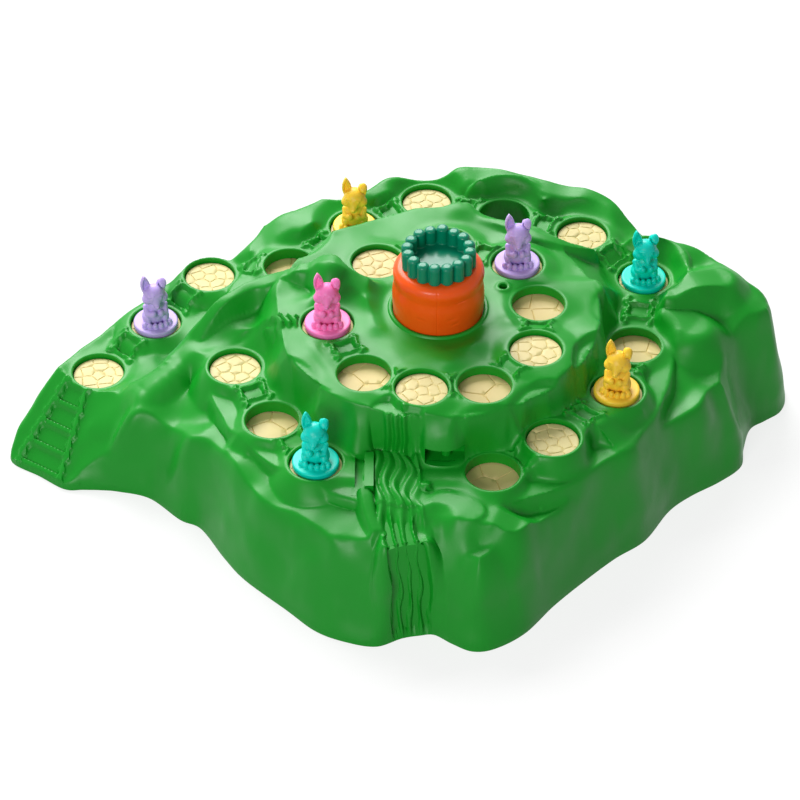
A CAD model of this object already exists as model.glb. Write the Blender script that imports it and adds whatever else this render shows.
import math

import bmesh
import bpy
import numpy as np
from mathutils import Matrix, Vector
from mathutils.geometry import delaunay_2d_cdt


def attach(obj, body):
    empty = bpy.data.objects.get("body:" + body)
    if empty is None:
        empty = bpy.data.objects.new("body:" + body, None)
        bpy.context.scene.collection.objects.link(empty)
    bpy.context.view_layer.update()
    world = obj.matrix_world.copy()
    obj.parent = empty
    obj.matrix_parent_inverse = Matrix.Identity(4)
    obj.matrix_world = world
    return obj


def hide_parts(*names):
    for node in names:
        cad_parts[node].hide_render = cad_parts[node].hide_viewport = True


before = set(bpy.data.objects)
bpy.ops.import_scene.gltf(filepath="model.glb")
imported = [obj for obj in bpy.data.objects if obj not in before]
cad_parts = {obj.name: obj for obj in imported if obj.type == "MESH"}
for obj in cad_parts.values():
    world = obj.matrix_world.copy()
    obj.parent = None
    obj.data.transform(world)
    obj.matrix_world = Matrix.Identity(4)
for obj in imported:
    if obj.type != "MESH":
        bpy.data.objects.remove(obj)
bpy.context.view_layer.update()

# Everything is drawn in millimetres in the carrot frame, where the carrot's axis is X = Y = 0 and
# the table is Z = 0, and moves to the game's own frame, in metres, when it becomes a mesh.
MM = 0.001
CARROT_OFFSET = np.array([14.777, 4.371, 0.0])

# Sizes that the source of the solids also has
SPACES = [
    ("tile", -142, 9, 29), ("tile", -119, 34, 35), ("tile", -97, 58, 41.5), ("trap", -62.5, 52.5, 51),
    ("tile", -35, 77, 53), ("tile", -4, 91, 56), ("trap", 29, 76.5, 59), ("tile", 62, 64, 59),
    ("tile", 87, 40, 54), ("trap", 81.5, 1, 50), ("tile", 72, -32.8, 54.5), ("tile", 45, -64.3, 57),
    ("trap", 21, -78, 51), ("tile", -49, -71, 50), ("trap", -67, -47, 51), ("tile", -83, -15, 52),
    ("tile", -45, -10, 71), ("trap", -30, -41.5, 71), ("tile", -7, -51, 72), ("trap", 18, -48.5, 71),
    ("tile", 39, -28.5, 73), ("trap", 41, 2.5, 71), ("tile", 33, 27.5, 72), ("tile", 4, 41, 71),
    ("tile", -25, 30, 71),
]
INNER_LEVEL_REACH = 60.0
GROUND_LINE = [
    (-178, -16.3), (-166, -24.8), (-155, -32.8), (-147, -33.2), (-140, -33.4), (-132, -34.4),
    (-119, -38.6), (-106, -51.4), (-97, -57), (-87, -74), (-78, -87), (-61, -104), (-49, -116), (-37, -122),
    (-25, -124.5), (-15, -120), (-8, -118.4), (-2, -118), (5, -123), (13, -127.2), (22, -125.6),
    (34, -117), (46, -101.5), (59, -87.2), (71.6, -74.5), (84.4, -63.8), (95, -46.7), (104.5, -37.4),
    (117.6, -28.2), (127, -19), (129, -8), (132.7, 4.5), (139.6, 10.2), (146.5, 16), (149.4, 25),
    (147, 35), (139, 44), (130, 50), (122, 57), (112, 64), (102, 70), (94, 82), (84, 94), (70, 102),
    (54, 107), (40, 113), (24, 118), (6, 117), (-12, 116), (-26, 112), (-38, 105), (-54, 103),
    (-66, 94), (-80, 88), (-88, 79), (-104, 75), (-118, 67), (-132, 54), (-146, 40), (-160, 25),
    (-171, 8), (-178, -6),
]
SHELL_WALL = 2.0
FOOT_HEIGHT = 1.5
SPACE_RADIUS = 10.9
COLLAR_RADIUS = 12.0
TILE_RADIUS = 10.4
TILE_THICKNESS = 1.2
TILE_SINK = 2.0
POCKET_FLOOR = 1.0
TURNING_GAP = 0.5
DISC_RADIUS = 93.0
DISC_STEP_RADIUS = 62.8
DISC_TOP = 45.4
DISC_RAISED_TOP = 66.4
HUB_OUTER_RADIUS = 20.4
HUB_RIM_HEIGHT = 71.6
HUB_FLOOR_HEIGHT = 68.6
HUB_FLOOR_THICKNESS = 2.0
CARROT_RADIUS = 18.5
CARROT_GAP = 0.35
SHAFT_RADIUS = 5.0
SHAFT_GAP = 0.05
SCREW_RADIUS = 1.5
SCREW_SPOT = (8.5, 9.0)
SCREW_POST_RADIUS = 3.0
SCREW_POST_HEIGHT = 3.0
PEG_HOLE = (26.8, 12.2)
PEG_HOLE_RADIUS = 1.75
# Straight parts of the hill beside the river, each from X to X, Y to Y and Z to Z
RIB = (-29.6, -26.0, -88.0, -68.0, 47.0, 52.6)
RIB_SLOT = (-33.4, -30.4, -88.0, -68.0, 46.8, 60.0)
HINGE_SLOT = (-5.8, 10.0, -76.0, -66.2, 51.3, 57.2)
HINGE_BACKING = (-9.0, 13.2, -66.5, -64.7, 48.6, 60.0)
HINGE_SILL = (-7.5, 12.0, -71.4, -65.5, 48.6, 51.2)
BRIDGE_GROOVE = (-5.6, 4.4, -88.1, -87.3, 49.5, 60.0)
SLOT_FLOOR = 48.3
SLOT_FLOOR_MARGIN = (1.5, 1.0)
# The lever in the hinge's slot: where it stands, and its turned profile
LEVER = (2.8, -67.3, [(0, 50.5), (1.9, 50.5), (1.9, 54.0), (1.5, 55.2), (0.8, 55.9), (0, 56.1)])


def place(number):
    """A space's X, Y and height."""
    return SPACES[number - 1][1:]


# The landscape is painted over a flat terrace, in this order. A stroke is a mode, its half width,
# the width of its slope and its points (X, Y, height)
TERRACE_HEIGHT = 45.0
STROKES = [
    # the shelf of the first spaces, and the shoulders above the front cliffs
    ("set", 17, 26, [(-163, -19, 11), (-151, 0, 30), (-142, 9, 30), (-119, 34, 34), (-97, 58, 41),
                     (-80, 60, 49)]),
    ("set", 8, 24, [(-128, -8, 33), (-112, -12, 39)]),
    ("set", 5, 20, [(-110, -35, 33), (-95, -45, 39)]),
    ("set", 6, 16, [(-40, -102, 42), (-75, -84, 42)]),
    ("set", 8, 14, [(15, -110, 39)]),
    ("set", 5, 16, [(42, -95, 43), (62, -75, 43)]),
    ("set", 6, 16, [(102, -34, 41), (115, -14, 43)]),
    # the rim along the back
    ("set", 5, 18, [(-58, 79, 57), (-46, 88, 57), (-28, 90, 56), (-16, 102, 60), (-3, 103, 62),
                    (15, 103, 63), (28, 101, 65), (38, 98, 63), (48, 92, 63), (64, 88, 63),
                    (75, 80, 61), (84, 68, 57), (99, 56, 62), (108, 50, 61), (118, 39, 58),
                    (128, 30, 55), (136, 24, 51)]),
    # the inner hill
    ("set", 46, 16, [(-6, -10, 72)]),
    # the crest between spaces 3 and 17
    ("raise", 2, 10, [(-122, -13, 39), (-110, -7, 47), (-102, 2, 52), (-98, 6, 56), (-91, 12, 62),
                      (-82, 17, 65.5), (-74, 20, 66), (-67, 21, 69), (-62, 21, 72), (-58, 20, 76),
                      (-53, 20, 78), (-48, 19, 82), (-42, 17, 83), (-36, 15, 81), (-32, 10, 78),
                      (-29, 4, 75)]),
    ("raise", 4, 8, [(-95, -2, 53), (-84, 5, 57), (-72, 8, 58)]),
]
# Ground banked against the raised part over the disc. It starts and falls away in waves round the
# hub, each a height, a count of waves in a turn and a phase
APRON_TOP = 70.0
APRON_START = 66.8
APRON_START_WAVES = [(1.2, 5, 1.0), (0.8, 11, 0.0)]
APRON_FALL = 1.9
APRON_FALL_WAVES = [(0.8, 3, 0.6), (0.6, 7, 2.4), (0.4, 13, 0.0)]
APRON_LEAST_FALL = 0.8
APRON_BLEND = 3.0
# Soft lumps in the ground, each a height, a wavelength and a seed
GROUND_LUMPS = [(2.1, 23.0, 41), (1.0, 11.0, 42)]
# What is painted after the banked ground and the soft lumps
LATE_STROKES = [
    # the slope from the inner hill down to space 9, with the rolled wall behind it
    ("set", 9, 8, [(44, 33, 69.3), (52, 33, 69), (60, 34, 65.5), (68, 36, 60), (76, 38, 55)]),
    ("raise", 1.4, 3.2, [(20, 60, 70.5), (31, 53, 72.2), (41, 46, 72.4), (51, 43, 71.2), (60, 43.5, 68.5),
                         (67, 47, 65), (72, 53, 61.5)]),
    # the niches behind traps 7 and space 9
    ("raise", 1.5, 3.6, [(11, 83, 61), (16, 90, 65), (27, 93.5, 67), (38, 92, 66.5), (46, 85, 63)]),
    ("raise", 1.6, 3.4, [(76, 55, 59), (86, 57.5, 61.5), (95, 54.5, 63), (101, 46, 63), (103, 38, 62)]),
    # the boulder in front of space 9
    ("raise", 5, 9, [(97, 24, 61.5), (106, 27, 64), (118, 31, 62)]),
    ("raise", 6, 12, [(96, 14, 57), (106, 8, 55)]),
    # the bed of the river, its banks and the platform beside it
    ("set", 8.6, 3, [(-17.5, -66, 50.6), (-17, -72, 50), (-16, -84, 49), (-14.5, -98, 47.5),
                     (-13, -112, 45)]),
    ("raise", 0.8, 3.2, [(-30, -76, 52), (-29.5, -88, 51.5), (-27, -100, 48), (-22.5, -112, 44)]),
    ("raise", 0.7, 2.4, [(-8.5, -66, 53.5), (-7.5, -76, 53), (-5, -86, 52.5)]),
    ("raise", 5, 9, [(2, -95, 50.5), (12, -99, 50)]),
    ("raise", 4, 8, [(22, -101, 49), (30, -104, 46)]),
    ("add", 2.5, 7, [(-2, -104, -3.5)]),
]
PAD_MARGIN = -0.6
PAD_SLOPE = 8.0
# How far the ground has to cover the disc below it
COVER_MARGIN = 0.9
COVER_STEP_WIDTH = 3.6
COVER_EDGE_MARGIN = 0.7
COVER_FALL = 30.0
COVER_FALL_WIDTH = 7.0
COVER_BLEND = 2.4
# How much the cliffs rise for each millimetre inwards, and where they differ
CLIFF_STEEPNESS = 3.8
LOCAL_STEEPNESS = [
    (12, 16, [(-35, -118, 3.0)]),
    (16, 20, [(-120, -46, 3.4)]),
    (10, 14, [(-97, -57, 5.0), (-80, -84, 5.0)]),
    (16, 16, [(50, -96, 6.3), (71, -74, 6.3), (98, -45, 6.3)]),
    (8, 8, [(-12, -118, 7.0)]),
    (16, 20, [(-178, 16, 3.8), (-110, 82, 4.4)]),
    (20, 16, [(-75, 95, 5.0), (0, 120, 5.0), (60, 108, 5.0), (100, 80, 5.0), (140, 40, 5.0)]),
]
CLIFF_SHOULDER = 9.0
LOW_SHOULDER = 0.5
RAMP_FOOT = (-166.5, -24.5)
RAMP_DIRECTION = (0.62, 0.785)
RAMP_SLOPE = 0.88
RAMP_FOOT_HEIGHT = 2.0
RAMP_MIDDLE = (-160, -13)
RAMP_REACH = 26.0
RAMP_FADE = 14.0


def smoothstep(value, low, high):
    """0 up to low and 1 from high on, with a soft rise between them."""
    t = np.clip((value - low) / (high - low), 0.0, 1.0)
    return t * t * (3.0 - 2.0 * t)


def fade(distance, half_width, slope_width):
    """1 up to the half width, and 0 beyond the slope."""
    return 1.0 - smoothstep(distance, half_width, half_width + slope_width)


def along(x, y, points):
    """Distance of each (x, y) from a line of points, and the line's value there."""
    if len(points) == 1:
        px, py, value = points[0]
        return np.hypot(x - px, y - py), np.full(np.shape(x), float(value))
    nearest = np.full(np.shape(x), 1e9)
    found = np.zeros(np.shape(x))
    for (ax, ay, az), (bx, by, bz) in zip(points[:-1], points[1:]):
        dx = bx - ax
        dy = by - ay
        t = np.clip(((x - ax) * dx + (y - ay) * dy) / (dx * dx + dy * dy), 0.0, 1.0)
        distance = np.hypot(x - ax - t * dx, y - ay - t * dy)
        closer = distance < nearest
        nearest = np.where(closer, distance, nearest)
        found = np.where(closer, az + (bz - az) * t, found)
    return nearest, found


def smooth_lower(a, b, blend):
    """The lower of two values, with a round corner where they cross."""
    t = np.clip(0.5 + 0.5 * (b - a) / blend, 0.0, 1.0)
    return b + (a - b) * t - blend * t * (1.0 - t)


def smooth_higher(a, b, blend):
    """The higher of two values, with a round corner where they cross."""
    return -smooth_lower(-a, -b, blend)


def rounded_line(points, steps, closed=True):
    """A smooth line through the points, as an array."""
    points = np.array(points, float)
    count = len(points)
    line = []
    for i in range(count if closed else count - 1):
        if closed:
            p0, p1, p2, p3 = points[i - 1], points[i], points[(i + 1) % count], points[(i + 2) % count]
        else:
            p0, p1, p2 = points[max(i - 1, 0)], points[i], points[i + 1]
            p3 = points[min(i + 2, count - 1)]
        for k in range(steps):
            t = k / steps
            line.append(0.5 * (2 * p1 + (p2 - p0) * t + (2 * p0 - 5 * p1 + 4 * p2 - p3) * t * t
                               + (3 * p1 - p0 - 3 * p2 + p3) * t ** 3))
    if not closed:
        line.append(points[-1])
    return np.array(line)


def even_loop(loop, step):
    """The same closed line with points at equal steps."""
    closed = np.vstack([loop, loop[:1]])
    lengths = np.concatenate([[0.0], np.cumsum(np.hypot(*np.diff(closed[:, :2], axis=0).T))])
    count = int(round(lengths[-1] / step))
    wanted = np.arange(count) * lengths[-1] / count
    return np.stack([np.interp(wanted, lengths, closed[:, k]) for k in range(closed.shape[1])], -1)


GROUND = even_loop(rounded_line(GROUND_LINE, 12), 0.8).astype(np.float32).astype(float)
GROUND_SEGMENTS = [(x, y, 0.0) for x, y in np.vstack([GROUND, GROUND[:1]])[::3].tolist()]


def lattice_noise(points, wavelength, seed):
    """Smooth noise from -1 to 1 at each point (X, Y, Z)."""
    table = np.random.default_rng(seed).uniform(-1.0, 1.0, (32, 32, 32))
    q = np.asarray(points, float) / wavelength + 100.0
    cell = np.floor(q).astype(int)
    f = q - cell
    f = f * f * f * (f * (6.0 * f - 15.0) + 10.0)
    total = np.zeros(len(q))
    for corner in range(8):
        step = [(corner >> k) & 1 for k in range(3)]
        weight = np.ones(len(q))
        for k in range(3):
            weight *= f[:, k] if step[k] else 1.0 - f[:, k]
        index = [(cell[:, k] + step[k]) % 32 for k in range(3)]
        total += weight * table[index[0], index[1], index[2]]
    return total


def lumps_of(points, lumps):
    """The sum of smooth noises, each a height, a wavelength and a seed."""
    total = np.zeros(len(points))
    for height, wavelength, seed in lumps:
        total = total + height * lattice_noise(points, wavelength, seed)
    return total


def waves_at(turn, waves):
    """The sum of waves, each a height, a count in a turn and a phase."""
    return sum(height * np.sin(count * turn + phase) for height, count, phase in waves)


def cover_height(radius):
    """The lowest that the hill may be over the turning disc."""
    gap = TURNING_GAP + SHELL_WALL
    inner_edge = DISC_STEP_RADIUS + gap + COVER_MARGIN
    outer_edge = DISC_RADIUS + gap + COVER_EDGE_MARGIN
    step = DISC_RAISED_TOP - DISC_TOP
    cover = DISC_RAISED_TOP + gap - step * smoothstep(radius, inner_edge, inner_edge + COVER_STEP_WIDTH)
    return cover - COVER_FALL * smoothstep(radius, outer_edge, outer_edge + COVER_FALL_WIDTH)


def painted(height, x, y, strokes):
    """The ground after strokes: "set" pulls to the stroke's height, "raise" only lifts, "add" adds."""
    for mode, half_width, slope_width, points in strokes:
        distance, value = along(x, y, points)
        share = fade(distance, half_width, slope_width)
        if mode == "add":
            height = height + value * share
            continue
        lift = value - height
        if mode == "raise":
            lift = np.maximum(lift, 0.0)
        height = height + lift * share
    return height


def smoothed(strokes):
    """The same strokes on smooth lines."""
    return [(mode, half_width, slope_width,
             rounded_line(points, 4, closed=False).tolist() if len(points) > 2 else points)
            for mode, half_width, slope_width, points in strokes]


SMOOTH_STROKES = smoothed(STROKES)
SMOOTH_LATE_STROKES = smoothed(LATE_STROKES)
# After these spaces the path crosses open ground, without a shelf of its own
OPEN_AFTER = (13, 16)
SHELVES = [("set", 6.3, 4.5, [place(number), place(number + 1)]) for number in range(1, len(SPACES))
           if number not in OPEN_AFTER]
SHELVES += [("set", 3.0, 6.0, [place(13), (6, -79, 50.5), (-8, -79, 50)]),
            ("set", 4.0, 6.0, [place(14), (-33, -76, 50)])]
HUB = ("set", HUB_OUTER_RADIUS + 2.0, 8, [(0, 0, HUB_RIM_HEIGHT - 0.9)])
PADS = [("set", COLLAR_RADIUS + PAD_MARGIN, PAD_SLOPE, [(x, y, z)]) for kind, x, y, z in SPACES]


def apron_height(x, y):
    """The ground banked against the raised part over the disc."""
    turn = np.arctan2(y, x)
    fall = np.maximum(APRON_FALL + waves_at(turn, APRON_FALL_WAVES), APRON_LEAST_FALL)
    start = APRON_START + waves_at(turn, APRON_START_WAVES)
    return APRON_TOP - np.maximum(np.hypot(x, y) - start, 0.0) * fall


def plain_height(x, y):
    """The painted ground, before the disc, the cliffs and the ramp bound it."""
    height = painted(np.full(np.shape(x), TERRACE_HEIGHT), x, y, SMOOTH_STROKES)
    height = smooth_higher(height, apron_height(x, y), APRON_BLEND)
    flat = np.stack([x, y, np.zeros(np.shape(x))], -1).reshape(-1, 3)
    height = height + lumps_of(flat, GROUND_LUMPS).reshape(np.shape(x))
    height = painted(height, x, y, SMOOTH_LATE_STROKES)
    return painted(height, x, y, SHELVES + [HUB] + PADS)


def bounded_height(height, x, y):
    """The ground kept above the disc and inside the cliffs and the start ramp."""
    height = smooth_higher(height, cover_height(np.hypot(x, y)), COVER_BLEND)
    steepness = np.full(np.shape(x), CLIFF_STEEPNESS)
    for half_width, slope_width, points in LOCAL_STEEPNESS:
        distance, value = along(x, y, points)
        steepness += (value - steepness) * fade(distance, half_width, slope_width)
    from_edge = along(x, y, GROUND_SEGMENTS)[0]
    cliff = FOOT_HEIGHT + from_edge * steepness
    uphill = (x - RAMP_FOOT[0]) * RAMP_DIRECTION[0] + (y - RAMP_FOOT[1]) * RAMP_DIRECTION[1]
    ramp = np.maximum(RAMP_FOOT_HEIGHT + uphill * RAMP_SLOPE, FOOT_HEIGHT)
    share = fade(np.hypot(x - RAMP_MIDDLE[0], y - RAMP_MIDDLE[1]), RAMP_REACH, RAMP_FADE)
    height = height + (np.minimum(height, ramp) - height) * share
    return smooth_lower(height, cliff, np.minimum(CLIFF_SHOULDER, height * LOW_SHOULDER))


def bare_height(x, y):
    """The whole hill without its fine relief, its lips and its lumps."""
    return bounded_height(plain_height(x, y), x, y)


# Relief that the skin carries. First the steps between spaces
STEP_HALF_WIDTH = 5.1
STEP_REACH = 6.3
STEP_RUNG_AT = 3.7
STEP_HEIGHT = 1.15
STEP_RAIL_WIDTH = 1.45
STEP_RUNG_WIDTH = 1.15
STEP_RUNG_HEIGHT = 0.85
STEP_KNOB_WIDTH = 2.0
STEP_KNOB_HEIGHT = 1.15
STEP_PANEL_DEPTH = 0.75
STEP_FROM_SPACE = 9.5
STEP_RUNG_FROM_END = 1.4
NO_STEPS_AFTER = (13, 16, 22)
# The start ladder, with its left and right corners, and its rungs as shares of its length
LADDER_FOOT = ((-178.2, -16.6), (-155.4, -33.0))
LADDER_TOP = ((-156.4, 5.8), (-144.2, -3.6))
LADDER_AXIS = [(-166.8, -24.8, 0.0), (-150.3, 1.1, 0.0)]
LADDER_RUNGS = (0.05, 0.275, 0.51, 0.745, 0.975)
LADDER_RAIL_INSET = 2.6
LADDER_RAIL_HALF = 1.15
LADDER_RUNG_HALF = 0.55
LADDER_EDGE = 0.8
LADDER_HEIGHT = 1.5
LADDER_RUNG_HEIGHT = 0.65
LADDER_PANEL_DEPTH = 0.7
# The round lip of each bore
LIP_ROUND = 0.55
LIP_PROUD = 0.05
# The river: its middle line as (X, Y), and its strands of water
RIVER = [(-17.5, -58), (-17, -70), (-16.5, -84), (-15.5, -98), (-13.5, -110), (-10.5, -119), (-9, -124)]
RIVER_HALF_WIDTH = 9.2
RIVER_START = (64.0, 67.0)
RIVER_END = (93.0, 106.0)
RIVER_CALM = (-118.0, -104.0)
RIVER_RELIEF = 1.35
RIVER_SWAY = 1.7
RIVER_SWAY_LENGTH = 24.0
STRAND_SPACING = 4.1
STRAND_COUNT = 5
STRAND_WIDTH = 0.62
# The waterfall on the front cliff, and the small one that feeds the river from the inner hill
FALL_HALF_WIDTH = 8.2
FALL_DEPTH = 2.6
FALL_STRAND_SPACING = 4.1
FALL_STRAND_HEIGHT = 1.7
FALL_START = (89.0, 105.0)
UPPER_FALL_X = -17.0
UPPER_FALL_HALF_WIDTH = 4.4
UPPER_FALL_SPACING = 3.3
UPPER_FALL_HEIGHT = 1.5
# Blades of grass, each from its root to its tip
GRASS = [((-72, -3), (-66.5, -13)), ((-68.8, -3), (-63.3, -13.5)), ((-65.4, -4), (-60.2, -13.5)),
         ((-61.9, -5), (-57.2, -13.5)), ((-58.6, -6), (-54.4, -13))]
GRASS_HEIGHT = 2.1
GRASS_HALF_WIDTH = 1.55
# Where the plan has an even, fine grid, from X to X and Y to Y
FINE_SPANS = [(-25.0, 3.0, -126.0, -94.0), (-182.0, -143.0, -36.0, 8.0)]
SKIN_SMOOTHING_ROUNDS = 2


def ridge(distance, width):
    """A rounded ridge: 1 on its line and 0 beyond its width."""
    t = np.clip(np.abs(distance) / width, 0.0, 1.0)
    return (1.0 - t * t) ** 2


def step_relief(x, y):
    """A short wavy ladder on the ground between each two spaces."""
    relief = np.zeros(np.shape(x))
    for number in range(1, len(SPACES)):
        if number in NO_STEPS_AFTER:
            continue
        ax, ay = place(number)[:2]
        bx, by = place(number + 1)[:2]
        length = math.hypot(bx - ax, by - ay)
        c, s = (bx - ax) / length, (by - ay) / length
        u = (x - (ax + bx) / 2) * c + (y - (ay + by) / 2) * s
        v = (y - (ay + by) / 2) * c - (x - (ax + bx) / 2) * s
        reach = min(STEP_REACH, length / 2 - STEP_FROM_SPACE)
        rung_at = min(STEP_RUNG_AT, reach - STEP_RUNG_FROM_END)
        bend = 0.5 * np.sin(u * 1.15 + number) + 0.25 * np.sin(u * 2.3 + 2.0 * number)
        rail = ridge(np.abs(v) - STEP_HALF_WIDTH - bend * np.sign(v), STEP_RAIL_WIDTH)
        rail = rail * fade(np.abs(u), reach, 1.2)
        knob = ridge(np.hypot(np.abs(u) - rung_at - 0.8, np.abs(v) - STEP_HALF_WIDTH - 0.9), STEP_KNOB_WIDTH)
        rail = np.maximum(rail, STEP_KNOB_HEIGHT * knob)
        rung = ridge(np.abs(u + 0.2 * np.sin(v + number)) - rung_at, STEP_RUNG_WIDTH)
        rung *= fade(np.abs(v), STEP_HALF_WIDTH + 0.3, 1.2)
        panel = fade(np.abs(u), rung_at - 1.2, 0.6) * fade(np.abs(v), STEP_HALF_WIDTH - 1.7, 0.7)
        relief = relief + STEP_HEIGHT * np.maximum(rail, STEP_RUNG_HEIGHT * rung) - STEP_PANEL_DEPTH * panel
    return relief


def ladder_relief(x, y):
    """The start ladder: wavy rails, five rungs and sunk panels."""
    (left_foot_x, left_foot_y), (right_foot_x, right_foot_y) = LADDER_FOOT
    (left_top_x, left_top_y), (right_top_x, right_top_y) = LADDER_TOP
    across = np.array([right_foot_x - left_foot_x, right_foot_y - left_foot_y])
    across = across / math.hypot(*across)
    up = np.array([-across[1], across[0]])
    length = (left_top_x - left_foot_x) * up[0] + (left_top_y - left_foot_y) * up[1]
    t = ((x - left_foot_x) * up[0] + (y - left_foot_y) * up[1]) / length
    left_x = left_foot_x + (left_top_x - left_foot_x) * t
    left_y = left_foot_y + (left_top_y - left_foot_y) * t
    right_x = right_foot_x + (right_top_x - right_foot_x) * t
    right_y = right_foot_y + (right_top_y - right_foot_y) * t
    width = np.hypot(right_x - left_x, right_y - left_y)
    s = (x - left_x) * across[0] + (y - left_y) * across[1]
    inside = fade(np.abs(t - 0.5), 0.5, 0.04)
    bend = 0.35 * np.sin(t * 27.0)
    half_width = LADDER_RAIL_HALF + 0.4 * np.sin(t * 52.0 + 1.0)
    rails = np.maximum(fade(np.abs(s - LADDER_RAIL_INSET - bend), half_width, LADDER_EDGE),
                       fade(np.abs(s - width + LADDER_RAIL_INSET - bend), half_width, LADDER_EDGE))
    within = fade(np.abs(s - width / 2), width / 2 - LADDER_RAIL_INSET + 0.2, LADDER_EDGE)
    rungs = np.zeros(np.shape(x))
    for at in LADDER_RUNGS:
        rungs = np.maximum(rungs, fade(np.abs(t - at) * length, LADDER_RUNG_HALF, LADDER_EDGE) * within)
    panels = fade(np.abs(s - width / 2), width / 2 - LADDER_RAIL_INSET - 1.0, LADDER_EDGE)
    panels = panels * fade(np.abs(t - 0.51), 0.45, 0.03)
    return inside * (LADDER_HEIGHT * np.maximum(rails, LADDER_RUNG_HEIGHT * rungs)
                     - LADDER_PANEL_DEPTH * panels * (1.0 - rungs))


def river_middle(y):
    """The X of the river's middle line."""
    return np.interp(y, [point[1] for point in RIVER][::-1], [point[0] for point in RIVER][::-1])


def river_relief(x, y):
    """Wavy strands of water down the bed."""
    middle = river_middle(y)
    calm = smoothstep(y, *RIVER_CALM)
    relief = np.zeros(np.shape(x))
    for number in range(STRAND_COUNT):
        offset = (number - (STRAND_COUNT - 1) / 2) * STRAND_SPACING
        sway = RIVER_SWAY * np.sin((y + 2.6 * number) / RIVER_SWAY_LENGTH * 2 * math.pi + 0.9)
        sway = sway * (0.2 + 0.8 * calm) + 0.5 * np.sin(y / 3.4 + 1.7 * number) * calm
        strand = ridge(x - middle - offset - sway, STRAND_WIDTH * STRAND_SPACING)
        relief = np.maximum(relief, strand * (1.0 + 0.2 * np.sin(y / 4.2 + 2.0 * number)))
    bed = fade(np.abs(x - middle), RIVER_HALF_WIDTH - 0.6, 1.4) * smoothstep(-y, *RIVER_START)
    return bed * (RIVER_RELIEF * relief + 0.2) * (1.0 - smoothstep(-y, *RIVER_END))


def waterfall_depth(points):
    """How far the skin of the front cliff moves out for the strands of water and in for their bed."""
    x, y, z = points.T
    across = x - river_middle(y) + 0.5 * np.sin(z / 5.2)
    flow = across + 0.45 * np.sin(z / 3.1 + 0.7 * across)
    strands = 0.5 + 0.5 * np.cos(flow * 2 * math.pi / FALL_STRAND_SPACING)
    bed = fade(np.abs(across), FALL_HALF_WIDTH - 0.6, 1.3)
    return (FALL_STRAND_HEIGHT * strands ** 1.4 - FALL_DEPTH) * bed, bed


def grass_relief(x, y):
    """Pointed blades of grass that lean on the bank above space 16."""
    relief = np.zeros(np.shape(x))
    for (ax, ay), (bx, by) in GRASS:
        length = math.hypot(bx - ax, by - ay)
        c, s = (bx - ax) / length, (by - ay) / length
        u = (x - ax) * c + (y - ay) * s
        v = (y - ay) * c - (x - ax) * s - 0.9 * np.sin(u / length * 2.4)
        width = GRASS_HALF_WIDTH * np.clip(0.25 + 1.6 * u / length, 0.25, 1.0)
        blade = np.clip(1.0 - (v / width) ** 2, 0.0, 1.0) * smoothstep(u, -0.3, 1.0)
        relief = np.maximum(relief, GRASS_HEIGHT * blade * (1.0 - smoothstep(u, 0.75 * length, length)))
    return relief


def lip_height(height, x, y):
    """A slightly raised round lip at the edge of every bore."""
    for kind, x0, y0, z0 in SPACES:
        radius = np.hypot(x - x0, y - y0)
        top = z0 + LIP_PROUD
        inward = np.clip(SPACE_RADIUS + LIP_ROUND - radius, 0.0, LIP_ROUND)
        lip = top - LIP_ROUND + np.sqrt(LIP_ROUND ** 2 - inward ** 2)
        share = fade(radius, COLLAR_RADIUS - 0.3, 1.2)
        height = height + (lip - height) * share
    radius = np.hypot(x, y)
    inner = CARROT_RADIUS + CARROT_GAP
    inward = np.clip(inner + LIP_ROUND - radius, 0.0, LIP_ROUND)
    lip = HUB_RIM_HEIGHT - LIP_ROUND + np.sqrt(LIP_ROUND ** 2 - inward ** 2)
    height = height + (lip - height) * fade(radius, HUB_OUTER_RADIUS - 0.3, 0.7)
    radius = np.hypot(x - PEG_HOLE[0], y - PEG_HOLE[1])
    return height + 0.5 * ridge(radius - PEG_HOLE_RADIUS - 0.9, 1.4)


def clear_of_spaces(x, y, start, width):
    """0 on a space's lip, rising to 1 away from every space and the hub."""
    share = smoothstep(np.hypot(x, y), HUB_OUTER_RADIUS + start - COLLAR_RADIUS,
                       HUB_OUTER_RADIUS + start - COLLAR_RADIUS + width)
    for kind, x0, y0, z0 in SPACES:
        share = share * smoothstep(np.hypot(x - x0, y - y0), start, start + width)
    return share


def fine_relief(x, y):
    """All the relief that is drawn on the plan."""
    return step_relief(x, y) + river_relief(x, y) + grass_relief(x, y) + ladder_relief(x, y)


def hill_height(x, y):
    """The hill with its fine relief and its lips."""
    height = bare_height(x, y)
    open_ground = clear_of_spaces(x, y, COLLAR_RADIUS - 0.2, 0.8)
    return lip_height(height + fine_relief(x, y) * open_ground, x, y)


def inside_loop(x, y, loop):
    """Whether each point is inside a closed line."""
    inside = np.zeros(np.shape(x), bool)
    for (ax, ay), (bx, by) in zip(loop, np.roll(loop, -1, 0)):
        crosses = (ay > y) != (by > y)
        if ay != by:
            inside ^= crosses & (x < ax + (y - ay) * (bx - ax) / (by - ay))
    return inside


def triangles_over(plan, loop_lengths, near):
    """Triangles over plan points, whose first ones are closed loops of the given lengths."""
    edges = []
    at = 0
    for length in loop_lengths:
        edges += [(at + i, at + (i + 1) % length) for i in range(length)]
        at += length
    found = delaunay_2d_cdt([Vector(point) for point in plan.tolist()], edges, [], 0, near, True)
    order = np.array([origin[0] for origin in found[3]])
    return order[np.array(found[2])]


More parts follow.
